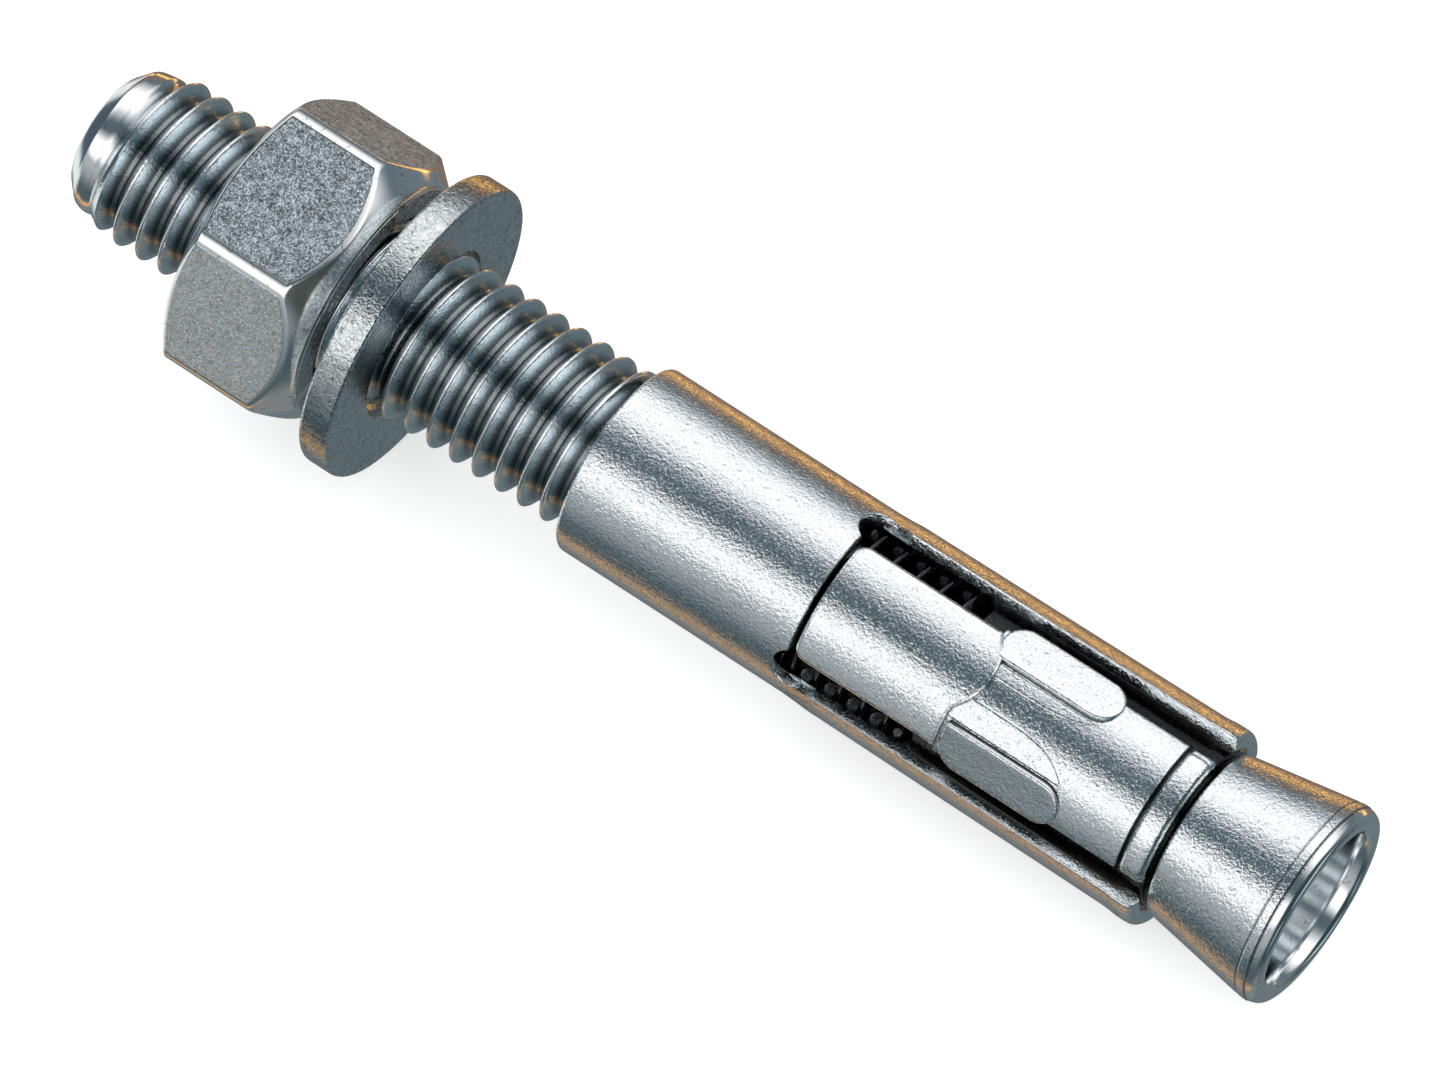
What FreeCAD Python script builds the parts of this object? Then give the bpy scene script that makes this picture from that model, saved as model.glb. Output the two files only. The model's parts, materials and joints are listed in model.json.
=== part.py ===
"""Sleeve anchor: stud, hex nut, flat washer, slotted sleeve, expansion clip and expander cone.

Every piece is drawn on its own +Z axis, measured from the stud's threaded tip at z = 0, and is
then laid down on its side: the axis runs along +X and dips towards the cone, because the washer's
rim and the cone's rim stand on the same flat surface.
"""
import FreeCAD, Part
import math
import os
import Sketcher

App = FreeCAD
Vector = App.Vector

doc = App.newDocument("SleeveAnchor")

# Driving dimensions in millimetres and degrees. A "station" is a distance from the threaded tip.
SIZES = [
    # stud
    ("stud_radius", "4.92"),
    ("thread_length", "56.7"),
    ("pilot_length", "2.2"),
    ("pilot_step", "0.32"),
    ("tip_chamfer_length", "1.1"),
    ("tip_chamfer_step", "0.45"),
    ("tip_face_step", "0.85"),
    ("shoulder_length", "0.9"),
    ("thread_root_depth", "0.6"),
    ("free_end_gap", "0.1"),
    ("shank_chamfer", "0.6"),
    # hex nut
    ("nut_station", "9.6"),
    ("nut_height", "8.3"),
    ("nut_across_flats", "15.7"),
    ("nut_corner_rounding", "1.3"),
    ("nut_face_inset", "0.25"),
    ("nut_chamfer_angle", "30"),
    ("nut_seat_inset", "0.62"),
    ("nut_seat_angle", "49"),
    ("nut_bore_clearance", "0.09"),
    ("nut_countersink", "0.44"),
    ("nut_roll", "40.5"),
    # flat washer
    ("washer_gap", "1.6"),
    ("washer_thickness", "1.88"),
    ("washer_radius", "9.05"),
    ("washer_clearance", "0.28"),
    ("washer_rim_rounding", "0.28"),
    # sleeve
    ("sleeve_roll", "26.9"),
    ("sleeve_length", "37.9"),
    ("sleeve_gap", "0.15"),
    ("sleeve_wall", "0.67"),
    ("sleeve_clearance", "0.13"),
    ("ring_top_rounding", "0.3"),
    ("leg_step", "0.1"),
    ("leg_step_length", "0.5"),
    ("leg_flare", "0.16"),
    ("leg_half_angle", "28.2"),
    ("slot_head_radius", "1.5"),
    ("slot_head_offset", "0.8"),
    ("slot_head_angle", "52.3"),
    ("toe_length", "1.7"),
    ("toe_bulge", "0.07"),
    ("toe_rounding", "0.45"),
    ("toe_clearance", "0.08"),
    # expansion clip
    ("clip_roll", "29"),
    ("clip_wall", "0.62"),
    ("clip_drop", "1.75"),
    ("tongue_length", "9.15"),
    ("tongue_half_angle", "38.6"),
    ("tongue_corner", "0.7"),
    ("tongue_clearance", "0.16"),
    ("window_gap", "0.3"),
    ("lip_bulge", "1.1"),
    ("lip_bulge_half_width", "2.5"),
    ("lip_bulge_shift", "1.2"),
    ("band_length", "11.7"),
    ("band_half_angle", "44.4"),
    ("band_sink", "0.34"),
    ("band_foot_angle", "51.7"),
    ("web_clearance", "0.2"),
    ("collar_gap", "0.15"),
    ("shank_clearance", "0.28"),
    ("pad_offset", "0.15"),
    ("pad_length", "7.6"),
    ("pad_width", "2.66"),
    ("pad_proud", "0.22"),
    ("pad_thickness", "0.7"),
    ("pad_angle", "35.85"),
    ("pad_skew", "2.05"),
    ("ramp_drop", "0.1"),
    ("ramp_width", "1.7"),
    ("ramp_middle", "1.5"),
    ("ramp_tail", "0.2"),
    ("ramp_bury", "0.04"),
    ("groove_width", "0.3"),
    ("groove_depth", "0.3"),
    ("bead_width", "1.45"),
    ("bead_half_angle", "40.7"),
    ("bead_rounding", "0.3"),
    # expander cone
    ("cone_gap", "0.25"),
    ("cone_length", "7.85"),
    ("cone_entry", "0.05"),
    ("cone_rise", "0.36"),
    ("cone_rim_width", "1.1"),
    ("cone_rim_rounding", "0.55"),
    ("cone_rim_wall", "1.53"),
    ("cone_mouth_chamfer", "0.25"),
    ("cone_thread_length", "4.25"),
    ("cone_thread_clearance", "0.05"),
    ("shank_proud", "0.2"),
]

# Places and radii that follow from the driving dimensions.
PLACES = [
    ("pilot_radius", "=Sizes.stud_radius - Sizes.pilot_step"),
    ("tip_chamfer_radius", "=pilot_radius - Sizes.tip_chamfer_step"),
    ("tip_radius", "=tip_chamfer_radius - Sizes.tip_face_step"),
    ("shoulder_station", "=Sizes.thread_length - Sizes.shoulder_length"),
    ("free_end", "=Sizes.nut_station - Sizes.free_end_gap"),
    ("root_radius", "=Sizes.stud_radius - Sizes.thread_root_depth"),
    ("root_station", "=free_end + Sizes.thread_root_depth * tan(30 deg)"),
    ("root_end", "=free_end + 2 * Sizes.thread_root_depth * tan(30 deg)"),
    ("sleeve_bore_radius", "=Sizes.stud_radius + Sizes.sleeve_clearance"),
    ("ring_radius", "=sleeve_bore_radius + Sizes.sleeve_wall"),
    ("web_radius", "=sleeve_bore_radius - Sizes.web_clearance"),
    ("web_bore", "=web_radius - Sizes.clip_wall"),
    ("shank_radius", "=web_bore - Sizes.shank_clearance"),
    ("collar_start", "=Sizes.thread_length + Sizes.collar_gap"),
    ("lip_station", "=Sizes.thread_length + Sizes.clip_drop"),
    ("lip_end", "=lip_station + Sizes.lip_bulge"),
    ("tongue_start", "=lip_station - Sizes.tongue_length"),
    ("groove_start", "=lip_station + Sizes.band_length"),
    ("bead_start", "=groove_start + Sizes.groove_width"),
    ("clip_end", "=bead_start + Sizes.bead_width"),
    ("cone_station", "=clip_end + Sizes.cone_gap"),
    ("cone_end", "=cone_station + Sizes.cone_length"),
    ("cone_recess_station", "=cone_station + Sizes.cone_thread_length"),
    ("stud_length", "=cone_recess_station + Sizes.shank_proud"),
    ("stud_chamfer_station", "=stud_length - Sizes.shank_chamfer"),
    ("shank_end_radius", "=shank_radius - Sizes.shank_chamfer"),
    ("nut_end", "=Sizes.nut_station + Sizes.nut_height"),
    ("nut_bore_radius", "=Sizes.stud_radius + Sizes.nut_bore_clearance"),
    ("nut_face_radius", "=Sizes.nut_across_flats / 2 - Sizes.nut_face_inset"),
    ("nut_corner_radius", "=Sizes.nut_across_flats / 2 / cos(30 deg)"),
    ("nut_cutter_radius", "=nut_corner_radius * 1.1"),
    ("nut_cutter_depth", "=(nut_cutter_radius - nut_face_radius) * tan(Sizes.nut_chamfer_angle * 1 deg)"),
    ("nut_lower_cut", "=Sizes.nut_station + nut_cutter_depth"),
    ("nut_seat_radius", "=Sizes.nut_across_flats / 2 - Sizes.nut_seat_inset"),
    ("nut_upper_cut", "=nut_end - (nut_cutter_radius - nut_seat_radius) * tan(Sizes.nut_seat_angle * 1 deg)"),
    ("washer_station", "=nut_end + Sizes.washer_gap"),
    ("washer_end", "=washer_station + Sizes.washer_thickness"),
    ("washer_hole_radius", "=Sizes.stud_radius + Sizes.washer_clearance"),
    ("ring_end", "=tongue_start - Sizes.window_gap"),
    ("sleeve_end", "=cone_station - Sizes.sleeve_gap"),
    ("sleeve_station", "=sleeve_end - Sizes.sleeve_length"),
    ("slot_head_station", "=ring_end + Sizes.slot_head_offset"),
    ("leg_step_start", "=slot_head_station + Sizes.slot_head_offset / 4"),
    ("leg_step_end", "=leg_step_start + Sizes.leg_step_length"),
    ("leg_radius", "=ring_radius + Sizes.leg_step"),
    ("toe_start", "=sleeve_end - Sizes.toe_length"),
    ("leg_end_radius", "=leg_radius + Sizes.leg_flare"),
    ("leg_end_bore", "=sleeve_bore_radius + Sizes.leg_step + Sizes.leg_flare"),
    ("toe_radius", "=leg_end_radius + Sizes.toe_bulge"),
    ("toe_bulge_station", "=toe_start + Sizes.toe_length * 0.45"),
    ("toe_hook_station", "=toe_start + Sizes.toe_length * 0.6"),
    ("toe_bore", "=Sizes.stud_radius + Sizes.toe_clearance"),
    ("window_half_angle", "=90 - Sizes.leg_half_angle"),
    ("window_far", "=ring_radius * 1.4"),
    ("window_side", "=window_far * tan(window_half_angle * 1 deg)"),
    ("tongue_bore", "=Sizes.stud_radius + Sizes.tongue_clearance"),
    ("tongue_arc", "=2 * Sizes.tongue_half_angle"),
    ("lip_cut_reach", "=ring_radius * 1.2"),
    ("lip_cut_end", "=lip_end + Sizes.lip_bulge"),
    ("band_radius", "=ring_radius - Sizes.band_sink"),
    ("band_bore", "=band_radius - Sizes.clip_wall"),
    ("groove_radius", "=band_radius - Sizes.groove_depth"),
    ("bead_arc", "=2 * Sizes.bead_half_angle"),
    ("pad_round", "=Sizes.pad_width / 2"),
    ("pad_low", "=lip_station + Sizes.pad_offset + pad_round"),
    ("pad_high", "=pad_low + Sizes.pad_length - Sizes.pad_width"),
    ("pad_height", "=band_radius + Sizes.pad_proud"),
    ("pad_root", "=pad_height - Sizes.pad_thickness"),
    ("ramp_crest", "=pad_height - Sizes.ramp_drop"),
    ("ramp_start", "=lip_station + Sizes.pad_offset"),
    ("ramp_end", "=pad_high + pad_round / 2"),
    ("ramp_half", "=(ramp_start + ramp_end) / 2"),
    ("ramp_lap", "=pad_round * 0.85"),
    ("ramp_reach", "=pad_round + Sizes.ramp_width"),
    ("ramp_foot", "=sqrt(band_radius ^ 2 - ramp_reach ^ 2) - Sizes.ramp_bury"),
    ("ramp_half_reach", "=pad_round + Sizes.ramp_middle"),
    ("ramp_half_foot", "=sqrt(band_radius ^ 2 - ramp_half_reach ^ 2) - Sizes.ramp_bury"),
    ("ramp_tail_reach", "=pad_round + Sizes.ramp_tail"),
    ("ramp_tail_foot", "=sqrt(band_radius ^ 2 - ramp_tail_reach ^ 2) - Sizes.ramp_bury"),
    ("cone_small_radius", "=toe_bore - Sizes.cone_entry"),
    ("cone_rim_radius", "=ring_radius + Sizes.cone_rise"),
    ("cone_mouth_radius", "=cone_rim_radius - Sizes.cone_rim_wall"),
    ("cone_ridge_station", "=cone_end - Sizes.cone_rim_width"),
    ("cone_bore_radius", "=shank_radius + Sizes.cone_thread_clearance"),
    ("cone_lip_radius", "=cone_mouth_radius + Sizes.cone_mouth_chamfer"),
    ("cone_lip_station", "=cone_end - Sizes.cone_mouth_chamfer"),
]


def make_sheet(name, rows):
    """Put each value in column B beside its name in column A, with the name as its alias."""
    sheet = doc.addObject("Spreadsheet::Sheet", name)
    for number, (alias, content) in enumerate(rows, start=1):
        sheet.set("A%d" % number, alias)
        sheet.set("B%d" % number, content)
        sheet.setAlias("B%d" % number, alias)
    doc.recompute()
    return sheet


sizes = make_sheet("Sizes", SIZES)
places = make_sheet("Places", PLACES)
SIZE_NAMES = {alias for alias, content in SIZES}


def ref(alias):
    """The alias as an expression that names its sheet."""
    return ("Sizes." if alias in SIZE_NAMES else "Places.") + alias


def value(alias):
    """The alias's number, in millimetres or degrees."""
    sheet = sizes if alias in SIZE_NAMES else places
    return float(sheet.get(alias))


def make_body(name):
    body = doc.addObject("PartDesign::Body", name)
    body.Label = name
    doc.recompute()
    return body


def origin_plane(body, role):
    for feature in body.Origin.OriginFeatures:
        if feature.Role == role:
            return feature
    raise ValueError(role)


def make_sketch(body, name, role):
    sketch = body.newObject("Sketcher::SketchObject", name)
    sketch.AttachmentSupport = (origin_plane(body, role), [""])
    sketch.MapMode = "FlatFace"
    return sketch


def bind(sketch, constraint, expression):
    index = sketch.addConstraint(constraint)
    sketch.setExpression("Constraints[%d]" % index, expression)


def arc_about(centre, radius, start, stop):
    """An arc that runs anticlockwise from the start angle to the stop angle, in degrees."""
    circle = Part.Circle(centre, Vector(0, 0, 1), radius)
    return Part.ArcOfCircle(circle, math.radians(start), math.radians(stop))


def closed_profile(body, name, corners):
    """A closed outline of straight sides in the XZ plane, each corner a (radius, station) pair.

    A corner on the axis has None as its radius, and one at the threaded tip None as its station.
    """
    sketch = make_sketch(body, name, "XZ_Plane")
    points = []
    for radius, station in corners:
        points.append(Vector(value(radius) if radius else 0, value(station) if station else 0, 0))
    count = len(points)
    for i in range(count):
        sketch.addGeometry(Part.LineSegment(points[i], points[(i + 1) % count]), False)
    for i in range(count):
        sketch.addConstraint(Sketcher.Constraint("Coincident", i, 2, (i + 1) % count, 1))
    for i, (radius, station) in enumerate(corners):
        if radius:
            bind(sketch, Sketcher.Constraint("DistanceX", -1, 1, i, 1, points[i].x), ref(radius))
        else:
            sketch.addConstraint(Sketcher.Constraint("PointOnObject", i, 1, -2))
        if station:
            bind(sketch, Sketcher.Constraint("DistanceY", -1, 1, i, 1, points[i].y), ref(station))
        else:
            sketch.addConstraint(Sketcher.Constraint("PointOnObject", i, 1, -1))
    return sketch


def revolve(body, name, corners, arc=None):
    """Turn a profile about the body's Z axis, all the way or through an arc centred on +X."""
    sketch = closed_profile(body, name + "_profile", corners)
    turned = body.newObject("PartDesign::Revolution", name)
    turned.Profile = sketch
    turned.ReferenceAxis = (sketch, ["V_Axis"])
    if arc:
        turned.setExpression("Angle", ref(arc))
        turned.Midplane = True
    else:
        turned.Angle = 360
    doc.recompute()
    return turned


def circle_edges(shape, radius, station):
    """Names of the circular edges round the Z axis with this radius at this station."""
    names = []
    for number, edge in enumerate(shape.Edges, start=1):
        curve = edge.Curve
        if curve.TypeId != "Part::GeomCircle":
            continue
        on_axis = math.hypot(curve.Center.x, curve.Center.y) < 1e-4
        if on_axis and abs(curve.Radius - radius) < 1e-3 and abs(curve.Center.z - station) < 1e-3:
            names.append("Edge%d" % number)
    return names


def dress(body, kind, name, base, edges, size):
    """A fillet or chamfer on the named edges of the last feature."""
    if not edges:
        raise ValueError("no edges for " + name)
    feature = body.newObject("PartDesign::" + kind, name)
    feature.Base = (base, edges)
    feature.setExpression("Radius" if kind == "Fillet" else "Size", ref(size))
    doc.recompute()
    return feature


def half_turn(body, name, features):
    """Repeat the features on the opposite side of the axis."""
    pattern = body.newObject("PartDesign::PolarPattern", name)
    pattern.Originals = features
    pattern.Axis = (origin_plane(body, "Z_Axis"), [""])
    pattern.Angle = 360
    pattern.Occurrences = 2
    body.Tip = pattern
    doc.recompute()
    return pattern


# Stud: a turned rod with a chamfered tip, a thread blank at the crest size and a thinner shank.
# One turn of the thread's root is cut, at the nut's face, where the free end of the thread stops.
stud = make_body("stud")
revolve(stud, "stud_turning", [
    (None, None),
    ("tip_radius", None),
    ("tip_chamfer_radius", "tip_chamfer_length"),
    ("pilot_radius", "pilot_length"),
    ("stud_radius", "pilot_length"),
    ("stud_radius", "free_end"),
    ("root_radius", "root_station"),
    ("stud_radius", "root_end"),
    ("stud_radius", "shoulder_station"),
    ("shank_radius", "thread_length"),
    ("shank_radius", "stud_chamfer_station"),
    ("shank_end_radius", "stud_length"),
    (None, "stud_length"),
])

# Hex nut: a hexagon with rounded corners, chamfered by a cone at both ends, more steeply on the
# washer's side, and countersunk.
nut = make_body("hex_nut")
hexagon = make_sketch(nut, "hexagon", "XY_Plane")
nut_corner = value("nut_corner_radius")
for i in range(6):
    start = math.radians(60 * i)
    stop = math.radians(60 * (i + 1))
    hexagon.addGeometry(Part.LineSegment(
        Vector(nut_corner * math.cos(start), nut_corner * math.sin(start), 0),
        Vector(nut_corner * math.cos(stop), nut_corner * math.sin(stop), 0)), False)
for i in range(6):
    hexagon.addConstraint(Sketcher.Constraint("Coincident", i, 2, (i + 1) % 6, 1))
guide = hexagon.addGeometry(Part.Circle(Vector(0, 0, 0), Vector(0, 0, 1), nut_corner), True)
hexagon.addConstraint(Sketcher.Constraint("Coincident", guide, 3, -1, 1))
for i in range(6):
    hexagon.addConstraint(Sketcher.Constraint("PointOnObject", i, 1, guide))
for i in range(5):
    hexagon.addConstraint(Sketcher.Constraint("Equal", i, i + 1))
hexagon.addConstraint(Sketcher.Constraint("PointOnObject", 0, 1, -1))
bind(hexagon, Sketcher.Constraint("Radius", guide, nut_corner), ref("nut_corner_radius"))
hexagon.setExpression("AttachmentOffset.Base.z", ref("nut_station"))
nut_blank = nut.newObject("PartDesign::Pad", "nut_blank")
nut_blank.Profile = hexagon
nut_blank.setExpression("Length", ref("nut_height"))
doc.recompute()
corner_edges = []
for number, edge in enumerate(nut_blank.Shape.Edges, start=1):
    ends = [vertex.Point for vertex in edge.Vertexes]
    if abs(ends[0].z - ends[1].z) > value("nut_height") / 2:
        corner_edges.append("Edge%d" % number)
dress(nut, "Fillet", "nut_corners", nut_blank, corner_edges, "nut_corner_rounding")


def nut_cut(name, corners):
    """Turn a cutting profile about the nut's axis and take it away."""
    sketch = closed_profile(nut, name + "_profile", corners)
    groove = nut.newObject("PartDesign::Groove", name)
    groove.Profile = sketch
    groove.ReferenceAxis = (sketch, ["V_Axis"])
    groove.Angle = 360
    doc.recompute()
    return groove


nut_cut("nut_tip_chamfer", [
    ("nut_face_radius", "nut_station"),
    ("nut_cutter_radius", "nut_station"),
    ("nut_cutter_radius", "nut_lower_cut"),
])
nut_cut("nut_seat_chamfer", [
    ("nut_seat_radius", "nut_end"),
    ("nut_cutter_radius", "nut_upper_cut"),
    ("nut_cutter_radius", "nut_end"),
])
nut_bore = nut_cut("nut_bore", [
    (None, "nut_station"),
    ("nut_bore_radius", "nut_station"),
    ("nut_bore_radius", "nut_end"),
    (None, "nut_end"),
])
mouths = circle_edges(nut_bore.Shape, value("nut_bore_radius"), value("nut_station"))
mouths += circle_edges(nut_bore.Shape, value("nut_bore_radius"), value("nut_end"))
dress(nut, "Chamfer", "nut_countersinks", nut_bore, mouths, "nut_countersink")

# Flat washer: a plain ring with eased outer rims.
washer = make_body("flat_washer")
washer_ring = revolve(washer, "washer_ring", [
    ("washer_hole_radius", "washer_station"),
    ("washer_radius", "washer_station"),
    ("washer_radius", "washer_end"),
    ("washer_hole_radius", "washer_end"),
])
rims = circle_edges(washer_ring.Shape, value("washer_radius"), value("washer_station"))
rims += circle_edges(washer_ring.Shape, value("washer_radius"), value("washer_end"))
dress(washer, "Fillet", "washer_rims", washer_ring, rims, "washer_rim_rounding")

# Sleeve: a turned tube whose lower part flares into toes, with two windows cut out of it.
sleeve = make_body("sleeve")
tube = revolve(sleeve, "sleeve_tube", [
    ("sleeve_bore_radius", "sleeve_station"),
    ("ring_radius", "sleeve_station"),
    ("ring_radius", "leg_step_start"),
    ("leg_radius", "leg_step_end"),
    ("leg_end_radius", "toe_start"),
    ("toe_radius", "toe_bulge_station"),
    ("toe_radius", "sleeve_end"),
    ("toe_bore", "sleeve_end"),
    ("toe_bore", "toe_hook_station"),
    ("leg_end_bore", "toe_start"),
    ("sleeve_bore_radius", "leg_step_start"),
])
toe_edge = circle_edges(tube.Shape, value("toe_radius"), value("sleeve_end"))
toes = dress(sleeve, "Fillet", "toe_ends", tube, toe_edge, "toe_rounding")
top_edge = circle_edges(toes.Shape, value("ring_radius"), value("sleeve_station"))
ring_top = dress(sleeve, "Fillet", "ring_top", toes, top_edge, "ring_top_rounding")

window = make_sketch(sleeve, "window_wedge", "XY_Plane")
window.setExpression("AttachmentOffset.Base.z", ref("ring_end"))
apex = Vector(0, 0, 0)
far_left = Vector(value("window_far"), value("window_side"), 0)
far_right = Vector(value("window_far"), -value("window_side"), 0)
for start, stop in ((apex, far_right), (far_right, far_left), (far_left, apex)):
    window.addGeometry(Part.LineSegment(start, stop), False)
for i in range(3):
    window.addConstraint(Sketcher.Constraint("Coincident", i, 2, (i + 1) % 3, 1))
window.addConstraint(Sketcher.Constraint("Coincident", 0, 1, -1, 1))
window.addConstraint(Sketcher.Constraint("Vertical", 1))
window.addConstraint(Sketcher.Constraint("Equal", 0, 2))
bind(window, Sketcher.Constraint("DistanceX", -1, 1, 0, 2, far_right.x), ref("window_far"))
bind(window, Sketcher.Constraint("DistanceY", 0, 2, -1, 1, -far_right.y), ref("window_side"))
window_cut = sleeve.newObject("PartDesign::Pocket", "window_cut")
window_cut.Profile = window
window_cut.Type = "ThroughAll"
window_cut.Reversed = True
doc.recompute()


def slot_head(name, side):
    """A round hole through both walls at one corner of each window."""
    sketch = make_sketch(sleeve, name + "_circle", "YZ_Plane")
    sketch.AttachmentOffset = App.Placement(Vector(0, 0, 0), App.Rotation(Vector(0, 1, 0), 0))
    sketch.setExpression("AttachmentOffset.Rotation.Angle", "%d * %s * 1 deg" % (side, ref("slot_head_angle")))
    start = Vector(0, value("slot_head_station"), 0)
    sketch.addGeometry(Part.Circle(start, Vector(0, 0, 1), value("slot_head_radius")), False)
    sketch.addConstraint(Sketcher.Constraint("PointOnObject", 0, 3, -2))
    bind(sketch, Sketcher.Constraint("DistanceY", -1, 1, 0, 3, start.y), ref("slot_head_station"))
    bind(sketch, Sketcher.Constraint("Radius", 0, value("slot_head_radius")), ref("slot_head_radius"))
    hole = sleeve.newObject("PartDesign::Pocket", name)
    hole.Profile = sketch
    hole.Type = "ThroughAll"
    hole.Midplane = True
    doc.recompute()
    return hole


window_pair = half_turn(sleeve, "window_pair", [window_cut])
slot_head("slot_heads_left", 1)
slot_head("slot_heads_right", -1)

# Expansion clip: half of it is built about +X and repeated on the other side of the shank.
clip = make_body("expansion_clip")
tongue = revolve(clip, "tongue", [
    ("tongue_bore", "tongue_start"),
    ("ring_radius", "tongue_start"),
    ("ring_radius", "lip_end"),
    ("tongue_bore", "lip_end"),
], arc="tongue_arc")
tongue_edges = []
for number, edge in enumerate(tongue.Shape.Edges, start=1):
    middle = edge.valueAt((edge.FirstParameter + edge.LastParameter) / 2)
    straight = edge.Curve.TypeId == "Part::GeomLine"
    if straight and abs(middle.z - value("tongue_start")) < 1e-3:
        tongue_edges.append("Edge%d" % number)
tongue_top = dress(clip, "Fillet", "tongue_corners", tongue, tongue_edges, "tongue_corner")

# The lip: below this wavy line the raised band is cut back to the sunk band.
lip = make_sketch(clip, "lip_line", "YZ_Plane")
lip_low = value("lip_station")
lip_high = value("lip_end")
bulge_half = value("lip_bulge_half_width")
bulge_left = value("lip_bulge_shift") + bulge_half
bulge_right = bulge_half - value("lip_bulge_shift")
bulge_radius = (bulge_half ** 2 + value("lip_bulge") ** 2) / (2 * value("lip_bulge"))
bulge_centre = lip_high - bulge_radius
bulge_spread = math.degrees(math.asin(bulge_half / bulge_radius))
side_reach = value("lip_cut_reach")
cut_depth = value("lip_cut_end")
outline = [Vector(bulge_right, lip_low, 0), Vector(side_reach, lip_low, 0), Vector(side_reach, cut_depth, 0),
           Vector(-side_reach, cut_depth, 0), Vector(-side_reach, lip_low, 0), Vector(-bulge_left, lip_low, 0)]
bulge_middle = Vector(-value("lip_bulge_shift"), bulge_centre, 0)
lip.addGeometry(arc_about(bulge_middle, bulge_radius, 90 - bulge_spread, 90 + bulge_spread), False)
for i in range(5):
    lip.addGeometry(Part.LineSegment(outline[i], outline[i + 1]), False)
lip.addConstraint(Sketcher.Constraint("Coincident", 0, 1, 1, 1))
for i in range(1, 5):
    lip.addConstraint(Sketcher.Constraint("Coincident", i, 2, i + 1, 1))
lip.addConstraint(Sketcher.Constraint("Coincident", 5, 2, 0, 2))
bulge_reach = ref("lip_bulge_half_width") + " + " + ref("lip_bulge_shift")
bulge_rest = ref("lip_bulge_half_width") + " - " + ref("lip_bulge_shift")
reach = ref("lip_cut_reach")
depth = ref("lip_cut_end")
bind(lip, Sketcher.Constraint("DistanceX", -1, 1, 1, 1, bulge_right), bulge_rest)
bind(lip, Sketcher.Constraint("DistanceX", 5, 2, -1, 1, bulge_left), bulge_reach)
bind(lip, Sketcher.Constraint("DistanceX", -1, 1, 2, 1, side_reach), reach)
bind(lip, Sketcher.Constraint("DistanceX", 5, 1, -1, 1, side_reach), reach)
bind(lip, Sketcher.Constraint("DistanceY", -1, 1, 1, 1, lip_low), ref("lip_station"))
bind(lip, Sketcher.Constraint("DistanceY", -1, 1, 5, 2, lip_low), ref("lip_station"))
bind(lip, Sketcher.Constraint("DistanceY", -1, 1, 2, 2, cut_depth), depth)
bind(lip, Sketcher.Constraint("DistanceY", -1, 1, 0, 3, bulge_centre),
     "%s - (%s ^ 2 + %s ^ 2) / (2 * %s)" % (ref("lip_end"), ref("lip_bulge_half_width"), ref("lip_bulge"),
                                          ref("lip_bulge")))
for i in (1, 3, 5):
    lip.addConstraint(Sketcher.Constraint("Horizontal", i))
for i in (2, 4):
    lip.addConstraint(Sketcher.Constraint("Vertical", i))
lip_cut = clip.newObject("PartDesign::Pocket", "lip_cut")
lip_cut.Profile = lip
lip_cut.Type = "ThroughAll"
lip_cut.Reversed = True
doc.recompute()


def polar(radius, angle):
    return Vector(radius * math.cos(math.radians(angle)), radius * math.sin(math.radians(angle)), 0)


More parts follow.
